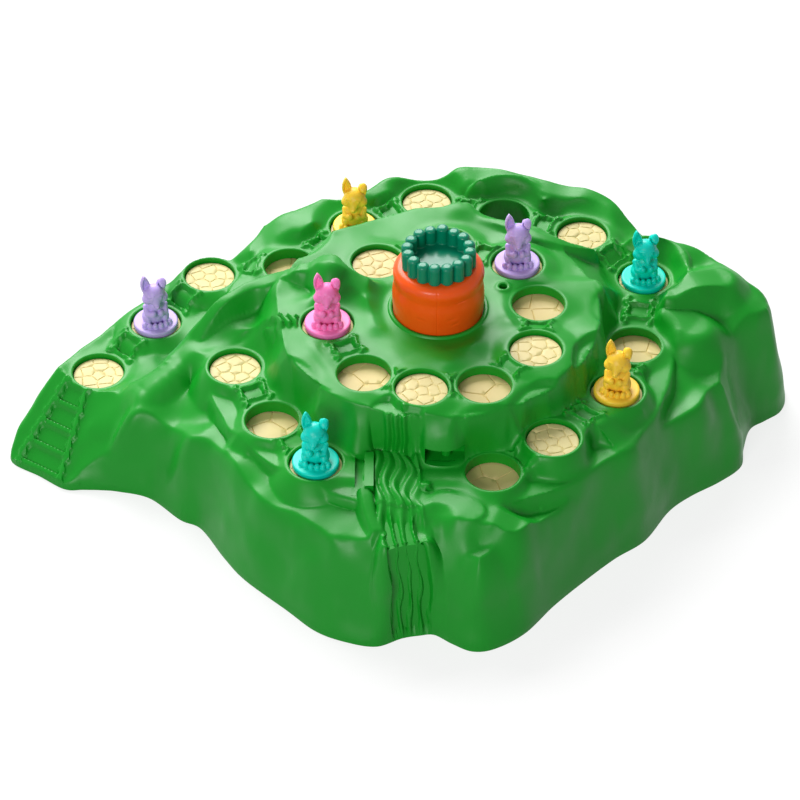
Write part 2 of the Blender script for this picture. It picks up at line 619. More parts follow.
def triangles_within(loop, points):
    """Triangles over plan points, bounded by the loop. The loop's own points come first."""
    everything = np.vstack([loop, points])
    faces = triangles_over(everything, [len(loop)], 1e-5)
    on_loop = (faces < len(loop)).all(1)
    middle = everything[faces].mean(1)
    outside = np.zeros(len(faces), bool)
    outside[on_loop] = ~inside_loop(middle[on_loop, 0], middle[on_loop, 1], loop)
    return faces[~outside]


def inward_rows(loop, distances):
    """Rows of plan points at distances inside a closed line, without those where the line folds."""
    ahead = np.roll(loop, -1, 0) - np.roll(loop, 1, 0)
    normal = np.stack([-ahead[:, 1], ahead[:, 0]], -1) / np.hypot(ahead[:, 0], ahead[:, 1])[:, None]
    rows = []
    for distance in distances:
        row = loop + normal * distance
        real = along(row[:, 0], row[:, 1], GROUND_SEGMENTS)[0]
        rows.append(row[real > 0.93 * distance - 0.02])
    return np.vstack(rows)


def grid_points(step, low, high):
    """The X and the Y of a square grid between two corners."""
    return np.meshgrid(np.arange(low[0], high[0], step), np.arange(low[1], high[1], step))


# Where the skin has points: rings round the bores, rows inside the foot line and a grid
RING_STEPS = (10.3, 11.02, 11.16, 11.36, 11.6, 11.9, 12.25, 12.7, 13.3)
RING_POINTS = 96
HUB_RING_STEPS = (18.2, 18.96, 19.1, 19.35, 19.75, 20.1, 20.4, 20.7, 21.1, 21.6, 22.3)
HUB_RING_POINTS = 160
PEG_RING_STEPS = (1.4, 1.9, 2.2, 2.6, 3.1, 3.6, 4.2)
PEG_RING_POINTS = 24
RING_MARGIN = 0.3
CLIFF_ROWS = [0.12, 0.35, 0.65, 1.0, 1.45] + [2.0 + 0.65 * k for k in range(16)]
GRID_SPAN = ((-180, -128), (151, 121))
GRID_STEP = 0.42
# Over how many grid steps a bend is measured, and from which bends on the grid is middling or fine
BEND_STEPS = 2
MIDDLE_BEND = 0.035
FINE_BEND = 0.3


def circle(x, y, radius, count):
    """Plan points round a circle."""
    turn = np.arange(count) * 2 * math.pi / count
    return np.stack([x + radius * np.cos(turn), y + radius * np.sin(turn)], -1)


def in_fine_span(x, y):
    """Whether each point is where the waterfall and the start ladder have an even, fine grid."""
    found = np.zeros(np.shape(x), bool)
    for x0, x1, y0, y1 in FINE_SPANS:
        found |= (x > x0) & (x < x1) & (y > y0) & (y < y1)
    return found


def clear_of_rings(x, y):
    """Whether each point is outside the rings of points round every bore."""
    clear = np.hypot(x, y) > HUB_RING_STEPS[-1] + RING_MARGIN
    clear &= np.hypot(x - PEG_HOLE[0], y - PEG_HOLE[1]) > PEG_RING_STEPS[-1] + RING_MARGIN
    for kind, x0, y0, z0 in SPACES:
        clear &= np.hypot(x - x0, y - y0) > RING_STEPS[-1] + RING_MARGIN
    return clear


def skin_points():
    """Plan points of the outer skin: rows, rings and a grid that is finer where the ground bends."""
    rows = inward_rows(GROUND, CLIFF_ROWS)
    kept = [rows[~in_fine_span(rows[:, 0], rows[:, 1])]]
    for x0, x1, y0, y1 in FINE_SPANS:
        gx, gy = grid_points(GRID_STEP, (x0, y0), (x1, y1))
        within = inside_loop(gx, gy, GROUND)
        gx, gy = gx[within], gy[within]
        within = along(gx, gy, GROUND_SEGMENTS)[0] > GRID_STEP / 2
        within &= clear_of_rings(gx, gy)
        kept.append(np.stack([gx[within], gy[within]], -1))
    gx, gy = grid_points(GRID_STEP, *GRID_SPAN)
    within = inside_loop(gx, gy, GROUND)
    height = np.zeros(gx.shape)
    height[within] = hill_height(gx[within], gy[within])
    n = BEND_STEPS
    here = height[n:-n, n:-n]
    bend = np.zeros(gx.shape)
    bend[n:-n, n:-n] = np.maximum(np.abs(height[n:-n, 2 * n:] + height[n:-n, :-2 * n] - 2 * here),
                                  np.abs(height[2 * n:, n:-n] + height[:-2 * n, n:-n] - 2 * here))
    row, column = np.indices(gx.shape)
    coarse = (row % 4 == 0) & (column % 4 == 0)
    middle = (row % 2 == 0) & (column % 2 == 0) & (bend > MIDDLE_BEND)
    chosen = within & (coarse | middle | (bend > FINE_BEND))
    gx, gy = gx[chosen], gy[chosen]
    clear = along(gx, gy, GROUND_SEGMENTS)[0] > CLIFF_ROWS[-1] + 0.4
    clear &= ~in_fine_span(gx, gy) & clear_of_rings(gx, gy)
    kept.append(np.stack([gx[clear], gy[clear]], -1))
    for kind, x0, y0, z0 in SPACES:
        kept += [circle(x0, y0, radius, RING_POINTS) for radius in RING_STEPS]
    kept += [circle(0, 0, radius, HUB_RING_POINTS) for radius in HUB_RING_STEPS]
    kept += [circle(*PEG_HOLE, radius, PEG_RING_POINTS) for radius in PEG_RING_STEPS]
    kept.append(np.array([[0.0, 0.0]] + [(x, y) for kind, x, y, z in SPACES]))
    return np.vstack(kept)


def skin_normals(x, y):
    """Directions square to the hill without its fine relief."""
    d = 0.5
    gx = (bare_height(x + d, y) - bare_height(x - d, y)) / (2 * d)
    gy = (bare_height(x, y + d) - bare_height(x, y - d)) / (2 * d)
    normal = np.stack([-gx, -gy, np.ones(len(x))], -1)
    return normal / np.linalg.norm(normal, axis=1)[:, None]


# Lumps and creases of the rock face. A crease is a valley where one noise crosses zero
CREASE_HEIGHT = 2.6
CREASE_NOISE = (29.0, 11)
CREASE_LEVEL = 0.42
CREASE_ROUND = 0.012
TALL_LUMPS = [(1.3, 16.0, 5)]
ROUND_LUMPS = [(0.6, 8.5, 6), (0.2, 5.0, 7)]
LOWEST_LUMP = -1.2
LUMP_BLEND = 0.8
LUMP_SHARE_ON_FLAT = 0.34


def outer_skin(plan):
    """The outer skin's points in space, with the soft lumps and creases of a moulded rock face."""
    x, y = plan[:, 0], plan[:, 1]
    points = np.stack([x, y, hill_height(x, y)], -1)
    normal = skin_normals(x, y)
    from_edge = along(x, y, GROUND_SEGMENTS)[0]
    steep = smoothstep(1.0 - normal[:, 2], 0.05, 0.5)
    tall = points * (1.0, 1.0, 0.5)
    crease = CREASE_LEVEL - np.sqrt(lattice_noise(tall, *CREASE_NOISE) ** 2 + CREASE_ROUND)
    lumps = CREASE_HEIGHT * crease + lumps_of(tall, TALL_LUMPS) + lumps_of(points, ROUND_LUMPS)
    lumps = smooth_higher(lumps, np.full(len(x), LOWEST_LUMP), LUMP_BLEND)
    lumps *= LUMP_SHARE_ON_FLAT + (1.0 - LUMP_SHARE_ON_FLAT) * steep
    lumps *= clear_of_spaces(x, y, COLLAR_RADIUS + 0.6, 5.0) * smoothstep(from_edge, 0.1, 3.0)
    lumps *= 1.0 - 0.9 * fade(along(x, y, LADDER_AXIS)[0], 11.0, 5.0)
    off = x - UPPER_FALL_X
    fall = steep * fade(np.abs(off), UPPER_FALL_HALF_WIDTH, 1.8)
    fall *= smoothstep(-y, 58.0, 61.0) * (1.0 - smoothstep(-y, 69.0, 71.0))
    flutes = 0.5 + 0.5 * np.cos((off + 0.25 * np.sin(points[:, 2] / 2.5)) * 2 * math.pi / UPPER_FALL_SPACING)
    lumps = lumps * (1.0 - fall) + UPPER_FALL_HEIGHT * flutes * fall
    water, bed = waterfall_depth(points)
    front = smoothstep(-y, *FALL_START) * smoothstep(from_edge, -0.1, 0.4)
    lumps = lumps * (1.0 - bed * front) + water * front
    return points + normal * lumps[:, None]


def relaxed(points, faces, held):
    """The points drawn towards their neighbours, apart from those that are held."""
    ends = np.vstack([faces[:, [0, 1]], faces[:, [1, 2]], faces[:, [2, 0]]])
    degree = np.bincount(ends.ravel(), minlength=len(points))[:, None]
    share = 0.5 * (1.0 - held)[:, None]
    for _ in range(SKIN_SMOOTHING_ROUNDS):
        total = np.stack([
            np.bincount(ends[:, 0], weights=points[ends[:, 1], k], minlength=len(points))
            + np.bincount(ends[:, 1], weights=points[ends[:, 0], k], minlength=len(points))
            for k in range(3)
        ], -1)
        points = points + (total / np.maximum(degree, 1) - points) * share
    return points


# Where the ceiling over the disc steps, and the thinnest wall there
CEILING_STEP_RADIUS = DISC_STEP_RADIUS + 2.6
CEILING_EDGE_RADIUS = DISC_RADIUS + 2.5
THINNEST_WALL = 0.8


def inner_skin(x, y):
    """The height of the inner skin: a wall below the hill, and clear of the disc."""
    d = 0.8
    base = bare_height(x, y)
    gx = (bare_height(x + d, y) - base) / d
    gy = (bare_height(x, y + d) - base) / d
    under = base - SHELL_WALL * np.sqrt(1.0 + gx * gx + gy * gy)
    radius = np.hypot(x, y)
    ceiling = np.where(radius < CEILING_STEP_RADIUS, DISC_RAISED_TOP, DISC_TOP) + TURNING_GAP
    ceiling = np.where(radius < CEILING_EDGE_RADIUS, ceiling, 0.0)
    return np.clip(np.maximum(under, ceiling), 0.3, base - THINNEST_WALL)


def mesh_object(name, points, faces):
    """A mesh object from points in millimetres in the carrot frame and faces of equal length."""
    mesh = bpy.data.meshes.new(name)
    points = (np.asarray(points, float) + CARROT_OFFSET) * MM
    faces = np.asarray(faces, np.int32)
    mesh.vertices.add(len(points))
    mesh.vertices.foreach_set("co", points.astype(np.float32).ravel())
    mesh.loops.add(faces.size)
    mesh.loops.foreach_set("vertex_index", faces.ravel())
    mesh.polygons.add(len(faces))
    mesh.polygons.foreach_set("loop_start", np.arange(0, faces.size, faces.shape[1], dtype=np.int32))
    mesh.update(calc_edges=True)
    mesh.validate()
    piece = bpy.data.objects.new(name, mesh)
    bpy.context.scene.collection.objects.link(piece)
    return piece


def smooth(piece, angle=180.0):
    """Smooth shading, with sharp edges where faces meet at more than the angle in degrees."""
    piece.data.shade_smooth()
    if angle < 180.0:
        piece.data.set_sharp_from_angle(angle=math.radians(angle))


def applied(piece):
    """The piece with its modifiers made real."""
    made = bpy.data.meshes.new_from_object(piece.evaluated_get(bpy.context.evaluated_depsgraph_get()))
    piece.modifiers.clear()
    piece.data = made
    return piece


def combined(piece, other, operation):
    """The piece joined with or cut by another one, which is then removed."""
    step = piece.modifiers.new(operation, "BOOLEAN")
    step.solver = "MANIFOLD"
    step.operation = operation
    step.object = other
    bpy.context.view_layer.update()
    applied(piece)
    bpy.data.objects.remove(other)
    return piece


def turned_mesh(profile, count, x=0.0, y=0.0):
    """Points and quads of a closed form turned from (radius, height) corners about an upright axis.
    A profile that starts and ends on the axis closes itself; any other one is a closed ring."""
    profile = np.array(profile, float)
    turn = np.arange(count) * 2 * math.pi / count
    points = np.stack([
        x + profile[:, 0][:, None] * np.cos(turn), y + profile[:, 0][:, None] * np.sin(turn),
        np.repeat(profile[:, 1][:, None], count, 1),
    ], -1).reshape(-1, 3)
    faces = []
    rows = len(profile)
    closed = profile[0][0] > 0 or profile[-1][0] > 0
    for i in range(rows if closed else rows - 1):
        j = (i + 1) % rows
        for k in range(count):
            n = (k + 1) % count
            faces.append((i * count + k, i * count + n, j * count + n, j * count + k))
    return points, faces


def turned_piece(name, profiles, count=96):
    """One object of several turned forms, each an (x, y, profile)."""
    points, faces = [], []
    at = 0
    for x, y, profile in profiles:
        some, quads = turned_mesh(profile, count, x, y)
        points.append(some)
        faces += [tuple(at + k for k in quad) for quad in quads]
        at += len(some)
    piece = mesh_object(name, np.vstack(points), faces)
    merge(piece)
    return piece


def merge(piece, distance=1e-7):
    """Join doubled points and make the faces point outwards."""
    work = bmesh.new()
    work.from_mesh(piece.data)
    bmesh.ops.remove_doubles(work, verts=work.verts, dist=distance)
    bmesh.ops.recalc_face_normals(work, faces=work.faces)
    work.to_mesh(piece.data)
    work.free()


def drum(radius, low, high):
    """The profile of a plain upright cylinder, drawn outwards and up."""
    return [(0, low), (radius, low), (radius, high), (0, high)]


BOX_FACES = [(0, 2, 3, 1), (4, 5, 7, 6), (0, 1, 5, 4), (2, 6, 7, 3), (0, 4, 6, 2), (1, 3, 7, 5)]


def block(name, span):
    """A straight box from X to X, Y to Y and Z to Z."""
    points = [(x, y, z) for z in span[4:6] for y in span[2:4] for x in span[0:2]]
    return mesh_object(name, points, BOX_FACES)


# The hill. Bores end well above it, and the narrow ones start well below their floors
CLEAR_ABOVE = 30.0
BORE_START = 60.0
PLUG_BELOW_LIP = 0.9
HUB_PLUG_BELOW_RIM = 1.6
HILL_SHARP_ANGLE = 38.0
# The top of the waterfall, which isn't smoothed: its middle, its reach and how that fades
UNSMOOTHED_FALL = ((-12.0, -114.0), 12.0, 3.0)
# Points of the inner skin: rows inside the foot line, a grid, and rings where its ceiling steps
INNER_ROWS = [SHELL_WALL + 0.05, SHELL_WALL + 0.5] + [3.4 + 1.3 * k for k in range(8)]
INNER_GRID_STEP = 2.2
INNER_GRID_FROM_EDGE = 14.0
INNER_RINGS = [(CEILING_STEP_RADIUS - 0.05, 240), (CEILING_STEP_RADIUS + 0.3, 240),
               (CEILING_STEP_RADIUS + 2.0, 240), (CEILING_EDGE_RADIUS - 0.05, 300),
               (CEILING_EDGE_RADIUS + 0.1, 300)]
INNER_RING_FROM_EDGE = 13.5
CLEAR_OF_INNER_RING = 1.2


def free_to_smooth(x, y):
    """1 where the outer skin may be smoothed, and 0 at its edge, its bores and its fine relief."""
    free = smoothstep(along(x, y, GROUND_SEGMENTS)[0], 0.3, 2.0)
    free *= clear_of_spaces(x, y, COLLAR_RADIUS + 0.2, 1.2)
    free *= smoothstep(np.hypot(x - PEG_HOLE[0], y - PEG_HOLE[1]), 3.5, 5.0)
    free *= 1.0 - smoothstep(np.abs(fine_relief(x, y)), 0.02, 0.2)
    (fall_x, fall_y), reach, slope_width = UNSMOOTHED_FALL
    return free * (1.0 - fade(np.hypot(x - fall_x, y - fall_y), reach, slope_width))


def inner_skin_points():
    """Plan points of the inner skin."""
    gx, gy = grid_points(INNER_GRID_STEP, *GRID_SPAN)
    inside = inside_loop(gx, gy, GROUND)
    gx, gy = gx[inside], gy[inside]
    radius = np.hypot(gx, gy)
    clear = along(gx, gy, GROUND_SEGMENTS)[0] > INNER_GRID_FROM_EDGE
    clear &= np.abs(radius - CEILING_STEP_RADIUS) >= CLEAR_OF_INNER_RING
    clear &= np.abs(radius - CEILING_EDGE_RADIUS) >= CLEAR_OF_INNER_RING
    kept = [inward_rows(GROUND, INNER_ROWS), np.stack([gx[clear], gy[clear]], -1)]
    for radius, count in INNER_RINGS:
        ring = circle(0, 0, radius, count)
        ring = ring[inside_loop(ring[:, 0], ring[:, 1], GROUND)]
        kept.append(ring[along(ring[:, 0], ring[:, 1], GROUND_SEGMENTS)[0] > INNER_RING_FROM_EDGE])
    return np.vstack(kept)


def hill_skin():
    """The closed shell before its bores: the outer skin, the inner skin and a flat foot."""
    plan = skin_points()
    outer_plan = np.vstack([GROUND, plan])
    outer_faces = triangles_within(GROUND, plan)
    held = 1.0 - free_to_smooth(outer_plan[:, 0], outer_plan[:, 1])
    outer = relaxed(outer_skin(outer_plan), outer_faces, held)
    count = len(GROUND)
    outer[:count, 2] = 0.0
    outer[:count, :2] = GROUND
    inner_plan = inner_skin_points()
    inner_faces = triangles_within(GROUND, inner_plan)
    inner_z = inner_skin(inner_plan[:, 0], inner_plan[:, 1])
    from_edge = along(inner_plan[:, 0], inner_plan[:, 1], GROUND_SEGMENTS)[0]
    inner_z = np.where(from_edge < SHELL_WALL + 0.3, 0.0, inner_z)
    inner_faces = np.where(inner_faces >= count, inner_faces + len(outer) - count, inner_faces)[:, ::-1]
    points = np.vstack([outer, np.column_stack([inner_plan, inner_z])])
    return mesh_object("hill", points, np.vstack([outer_faces, inner_faces]))


def hill_piece():
    """The hill with its collars, bores, slots, rib, screw post and bearing hole."""
    plugs = [(0, 0, drum(HUB_OUTER_RADIUS, HUB_FLOOR_HEIGHT - HUB_FLOOR_THICKNESS,
                         HUB_RIM_HEIGHT - HUB_PLUG_BELOW_RIM))]
    bores = [(*PEG_HOLE, drum(PEG_HOLE_RADIUS, BORE_START, HUB_RIM_HEIGHT + CLEAR_ABOVE))]
    for kind, x, y, z in SPACES:
        pocket = z - TILE_SINK - TILE_THICKNESS
        low = pocket - POCKET_FLOOR
        if kind == "trap":
            inner = math.hypot(x, y) <= INNER_LEVEL_REACH
            low = (DISC_RAISED_TOP if inner else DISC_TOP) + TURNING_GAP
            pocket = low - 1.0
        plugs.append((x, y, drum(COLLAR_RADIUS, low, z - PLUG_BELOW_LIP)))
        bores.append((x, y, drum(SPACE_RADIUS, pocket, z + CLEAR_ABOVE)))
    bores.append((0, 0, drum(CARROT_RADIUS + CARROT_GAP, HUB_FLOOR_HEIGHT, HUB_RIM_HEIGHT + CLEAR_ABOVE)))
    wide, deep = SLOT_FLOOR_MARGIN
    slot_floor = (RIB_SLOT[0] - wide, RIB_SLOT[1] + wide, RIB_SLOT[2] - deep, RIB_SLOT[3] + deep,
                  DISC_TOP + TURNING_GAP + 0.3, SLOT_FLOOR)
    post_top = HUB_FLOOR_HEIGHT + SCREW_POST_HEIGHT
    post = [(*SCREW_SPOT, drum(SCREW_POST_RADIUS, HUB_FLOOR_HEIGHT - 0.5, post_top))]
    holes = [(*SCREW_SPOT, drum(SCREW_RADIUS, BORE_START, post_top - 1.0)),
             (0, 0, drum(SHAFT_RADIUS + SHAFT_GAP, BORE_START, HUB_FLOOR_HEIGHT + 1.0))]
    hill = hill_skin()
    for operation, name, form in (
            ("UNION", "plugs", plugs), ("UNION", "rib", RIB), ("DIFFERENCE", "bores", bores),
            ("UNION", "slot_floor", slot_floor),
            ("DIFFERENCE", "slot", (*RIB_SLOT[0:4], SLOT_FLOOR, RIB_SLOT[5])),
            ("UNION", "backing", HINGE_BACKING), ("UNION", "sill", HINGE_SILL),
            ("DIFFERENCE", "slot", HINGE_SLOT), ("UNION", "lever", [LEVER]),
            ("DIFFERENCE", "groove", BRIDGE_GROOVE), ("UNION", "post", post),
            ("DIFFERENCE", "holes", holes)):
        other = turned_piece(name, form) if isinstance(form, list) else block(name, form)
        combined(hill, other, operation)
    smooth(hill, HILL_SHARP_ANGLE)
    return hill


# Paved plates: tiles and the disc, cracked into stones
def stone_edges(seeds):
    """The edges between the stones round the seeds, each as two plan points."""
    corners = [Vector(seed) for seed in np.asarray(seeds, float).tolist()]
    found = delaunay_2d_cdt(corners, [], [], 0, 1e-6, False)
    points = np.array([tuple(point) for point in found[0]])
    centres = []
    shared = {}
    for number, face in enumerate(found[2]):
        a, b, c = points[face[0]], points[face[1]], points[face[2]]
        d = 2 * (a[0] * (b[1] - c[1]) + b[0] * (c[1] - a[1]) + c[0] * (a[1] - b[1]))
        aa, bb, cc = a @ a, b @ b, c @ c
        centres.append(((aa * (b[1] - c[1]) + bb * (c[1] - a[1]) + cc * (a[1] - b[1])) / d,
                        (aa * (c[0] - b[0]) + bb * (a[0] - c[0]) + cc * (b[0] - a[0])) / d))
        for k in range(3):
            shared.setdefault(frozenset((face[k], face[(k + 1) % 3])), []).append(number)
    return [(centres[pair[0]], centres[pair[1]]) for pair in shared.values() if len(pair) == 2]


def crack_distance(x, y, edges):
    """Distance of each (x, y) from the nearest edge of a stone."""
    nearest = np.full(np.shape(x), 1e9)
    for (ax, ay), (bx, by) in edges:
        dx, dy = bx - ax, by - ay
        t = np.clip(((x - ax) * dx + (y - ay) * dy) / (dx * dx + dy * dy + 1e-9), 0.0, 1.0)
        nearest = np.minimum(nearest, np.hypot(x - ax - t * dx, y - ay - t * dy))
    return nearest


CRACK_HALF_WIDTH = 0.3
CRACK_DEPTH = 0.35
CRACK_SPACING = 0.9
CRACK_LENGTHS = (0.05, 60.0)


def crack_points(edges, inside):
    """Plan points along both shoulders and the bottom of each crack."""
    rows = []
    for a, b in edges:
        a, b = np.array(a), np.array(b)
        length = np.hypot(*(b - a))
        if length < CRACK_LENGTHS[0] or length > CRACK_LENGTHS[1]:
            continue
        steps = max(int(length / CRACK_SPACING), 1)
        line = a + (b - a) * (np.arange(steps + 1) / steps)[:, None]
        normal = np.array([-(b - a)[1], (b - a)[0]]) / length
        rows.append(np.column_stack([line, np.full(len(line), -1.0)]))
        for side in (-1.0, 1.0):
            rows.append(np.column_stack([line + normal * side * CRACK_HALF_WIDTH, np.zeros(len(line))]))
    points = np.vstack(rows)
    real = crack_distance(points[:, 0], points[:, 1], edges)
    keep = (points[:, 2] < 0) | (real > 0.9 * CRACK_HALF_WIDTH)
    points = points[keep & inside(points[:, 0], points[:, 1])]
    order = np.lexsort((np.round(points[:, 1], 2), np.round(points[:, 0], 2)))
    points = points[order]
    close = np.hypot(*(points[1:, :2] - points[:-1, :2]).T) < 0.03
    return points[np.concatenate([[True], ~close])]


def relief_plate(outline_loops, inside, edges, filler):
    """Plan points with their crack relief, and triangles between them, over a plate with holes.
    outline_loops are closed rows of plan points: the outer one first, then any holes."""
    loops = np.vstack(outline_loops)
    cracks = crack_points(edges, inside)
    filled = filler[inside(filler[:, 0], filler[:, 1])]
    filled = filled[crack_distance(filled[:, 0], filled[:, 1], edges) > 2.2 * CRACK_HALF_WIDTH]
    on_crack = crack_distance(loops[:, 0], loops[:, 1], edges)
    plan = np.vstack([loops, cracks[:, :2], filled])
    depth = np.concatenate([-np.clip(1.0 - on_crack / CRACK_HALF_WIDTH, 0.0, 1.0), cracks[:, 2],
                            np.zeros(len(filled))]) * CRACK_DEPTH
    faces = triangles_over(plan, [len(loop) for loop in outline_loops], 1e-6)
    middle = plan[faces].mean(1)
    kept = inside(middle[:, 0], middle[:, 1]) | ~(faces < len(loops)).all(1)
    return plan, depth, faces[kept]


def plate_mesh(name, plan, depth, faces, top, bottom, outline_loops):
    """A closed plate from its cracked top: the same plan points below, joined round each loop."""
    count = len(plan)
    ends = np.cumsum([0] + [len(loop) for loop in outline_loops])
    rims = [np.arange(start, end) for start, end in zip(ends[:-1], ends[1:])]
    upper = np.column_stack([plan, top + depth])
    # The underside needs only the loops' points
    under = plan[:ends[-1]]
    below = triangles_over(under, [len(rim) for rim in rims], 1e-6)
    middle = under[below].mean(1)
    kept = inside_loop(middle[:, 0], middle[:, 1], plan[rims[0]])
    for rim in rims[1:]:
        kept &= ~inside_loop(middle[:, 0], middle[:, 1], plan[rim])
    lower = np.column_stack([under, np.full(len(under), bottom)])
    walls = []
    for a in rims:
        b = np.roll(a, -1)
        walls += [np.stack([a, count + a, count + b], -1), np.stack([a, count + b, b], -1)]
    return np.vstack([upper, lower]), np.vstack([faces, below[kept][:, ::-1] + count] + walls)


TILE_EDGE_ROUND = 0.3
TILE_RIM_POINTS = 96
TILE_SEED = 12
# Rings of stones on a tile: how many, how far out and how uneven. A filler point keeps off the cracks
TILE_STONES = ((5, 5.0, 0.5), (9, 9.8, 0.7), (12, 15.0, 0.5))
TILE_FILLER_RINGS = (0.01, 2, 4, 6, 8, 9.4)
FILLER_FROM_CRACK = 0.7
PAVING_SHARP_ANGLE = 32.0


def tile_pieces():
    """The inlaid tiles, each with a paving of its own."""
    rng = np.random.default_rng(TILE_SEED)
    count = TILE_RIM_POINTS
    rim = circle(0, 0, TILE_RADIUS, count)
    flat = TILE_RADIUS - TILE_EDGE_ROUND
    inner_rows = np.vstack([circle(0, 0, flat, count), circle(0, 0, TILE_RADIUS - 0.08, count)])
    all_filler = np.vstack([circle(0, 0, r, int(6 * r) + 1) for r in TILE_FILLER_RINGS])

    def inside(x, y):
        return np.hypot(x, y) < flat - 0.15

    for number, (kind, x0, y0, z0) in enumerate(SPACES, start=1):
        if kind != "tile":
            continue
        start = rng.uniform(0, 2 * math.pi)
        seeds = [(rng.uniform(-0.6, 0.6), rng.uniform(-0.6, 0.6))]
        for stones, reach, wobble in TILE_STONES:
            for k in range(stones):
                turn = start + (k + rng.uniform(-0.16, 0.16)) * 2 * math.pi / stones
                far = reach + rng.uniform(-wobble, wobble)
                seeds.append((far * math.cos(turn), far * math.sin(turn)))
        edges = stone_edges(seeds)
        cracks = crack_points(edges, inside)
        filler = all_filler[crack_distance(all_filler[:, 0], all_filler[:, 1], edges) > FILLER_FROM_CRACK]
        plan = np.vstack([rim, inner_rows, cracks[:, :2], filler])
        on_flat = crack_distance(inner_rows[:count, 0], inner_rows[:count, 1], edges)
        drop = np.concatenate([np.full(count, -TILE_EDGE_ROUND),
                               -CRACK_DEPTH * np.clip(1.0 - on_flat / CRACK_HALF_WIDTH, 0.0, 1.0),
                               np.full(count, -0.1), CRACK_DEPTH * cracks[:, 2], np.zeros(len(filler))])
        faces = triangles_within(rim, plan[count:])
        points, faces = plate_mesh("tile", plan, drop, faces, z0 - TILE_SINK,
                                   z0 - TILE_SINK - TILE_THICKNESS, [rim])
        points[:, 0] += x0
        points[:, 1] += y0
        tile = mesh_object("tile_%02d" % number, points, faces)
        merge(tile)
        smooth(tile, PAVING_SHARP_ANGLE)
        tile.data.materials.append(CREAM)
        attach(tile, "hill")
        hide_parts("path_tile_%02d" % number)


# Soft sculpted forms: distances to simple shapes, blended, and a net drawn where the result is zero
def oval_distance(x, y, z, middle, radii):
    """An oval ball."""
    px, py, pz = x - middle[0], y - middle[1], z - middle[2]
    a, b, c = radii
    k0 = np.sqrt((px / a) ** 2 + (py / b) ** 2 + (pz / c) ** 2)
    k1 = np.sqrt((px / a ** 2) ** 2 + (py / b ** 2) ** 2 + (pz / c ** 2) ** 2)
    return k0 * (k0 - 1.0) / np.maximum(k1, 1e-9)


def limb_distance(x, y, z, start, end, start_radius, end_radius):
    """A tapered limb with round ends."""
    dx, dy, dz = np.subtract(end, start)
    px, py, pz = x - start[0], y - start[1], z - start[2]
    t = np.clip((px * dx + py * dy + pz * dz) / (dx * dx + dy * dy + dz * dz), 0.0, 1.0)
    radius = start_radius + (end_radius - start_radius) * t
    return np.sqrt((px - t * dx) ** 2 + (py - t * dy) ** 2 + (pz - t * dz) ** 2) - radius


def rounded_edge(out, over, edge):
    """The distance past a side and an end that meet in a round edge."""
    outside = np.hypot(np.maximum(out, 0.0), np.maximum(over, 0.0))
    return outside + np.minimum(np.maximum(out, over), 0.0) - edge


def drum_distance(reach, z, radius, low, high, edge):
    """An upright drum with rounded edges, from the distance to its axis."""
    over = np.abs(z - (low + high) / 2) - ((high - low) / 2 - edge)
    return rounded_edge(reach - (radius - edge), over, edge)


def blade_distance(across, depth, along_it, half_width, half_length, half_depth, edge):
    """A pointed oval plate: an ear, or the hollow in it."""
    reach = (half_width ** 2 + half_length ** 2) / (2 * half_width)
    out = np.hypot(np.abs(across) + reach - half_width, along_it) - reach + edge
    return rounded_edge(out, np.abs(depth) - half_depth + edge, edge)


NET_ROUNDS = 3
NET_SLOPE_STEP = 0.05


def netted(distance, low, high, step):
    """Points and quads of the surface where distance(x, y, z) is zero."""
    axes = [np.arange(low[k], high[k] + step, step) for k in range(3)]
    field = distance(*np.meshgrid(*axes, indexing="ij"))
    cells = tuple(n - 1 for n in field.shape)
    total = np.zeros(cells + (3,))
    count = np.zeros(cells)
    quads = []
    for axis in range(3):
        start = np.take(field, np.arange(field.shape[axis] - 1), axis)
        end = np.take(field, np.arange(1, field.shape[axis]), axis)
        crossed = (start < 0) != (end < 0)
        edge = np.argwhere(crossed)
        share = start[crossed] / (start[crossed] - end[crossed])
        spot = edge.astype(float)
        spot[:, axis] += share
        others = [k for k in range(3) if k != axis]
        around = []
        for step_a, step_b in ((-1, -1), (0, -1), (0, 0), (-1, 0)):
            cell = edge.copy()
            cell[:, others[0]] += step_a
            cell[:, others[1]] += step_b
            np.add.at(total, tuple(cell.T), spot)
            np.add.at(count, tuple(cell.T), 1)
            around.append(np.ravel_multi_index(tuple(cell.T), cells))
        quad = np.stack(around, -1)
        turned_back = (start[crossed] >= 0) != (axis == 1)
        quad[turned_back] = quad[turned_back][:, ::-1]
        quads.append(quad)
    used = count > 0
    number = np.full(count.size, -1)
    number[used.ravel()] = np.arange(used.sum())
    points = total[used] / count[used][:, None] * step + np.array([axis[0] for axis in axes])
    d = NET_SLOPE_STEP
    for _ in range(NET_ROUNDS):
        x, y, z = points.T
        off = distance(x, y, z)
        slope = np.stack([distance(x + d, y, z) - distance(x - d, y, z),
                          distance(x, y + d, z) - distance(x, y - d, z),
                          distance(x, y, z + d) - distance(x, y, z - d)], -1) / (2 * d)
        move = slope * (off / np.maximum((slope ** 2).sum(1), 0.2))[:, None]
        points = points - np.clip(move, -0.4 * step, 0.4 * step) * 0.8
    return points, number[np.vstack(quads)]


def blended(x, y, z, forms):
    """Forms melted into one. Each is its distance, its blend with those before it, whether it is on
    both sides, and its measures."""
    result = np.full(np.shape(x), 1e9)
    for distance, blend, both_sides, *measures in forms:
        result = smooth_lower(result, distance(np.abs(x) if both_sides else x, y, z, *measures), blend)
    return result


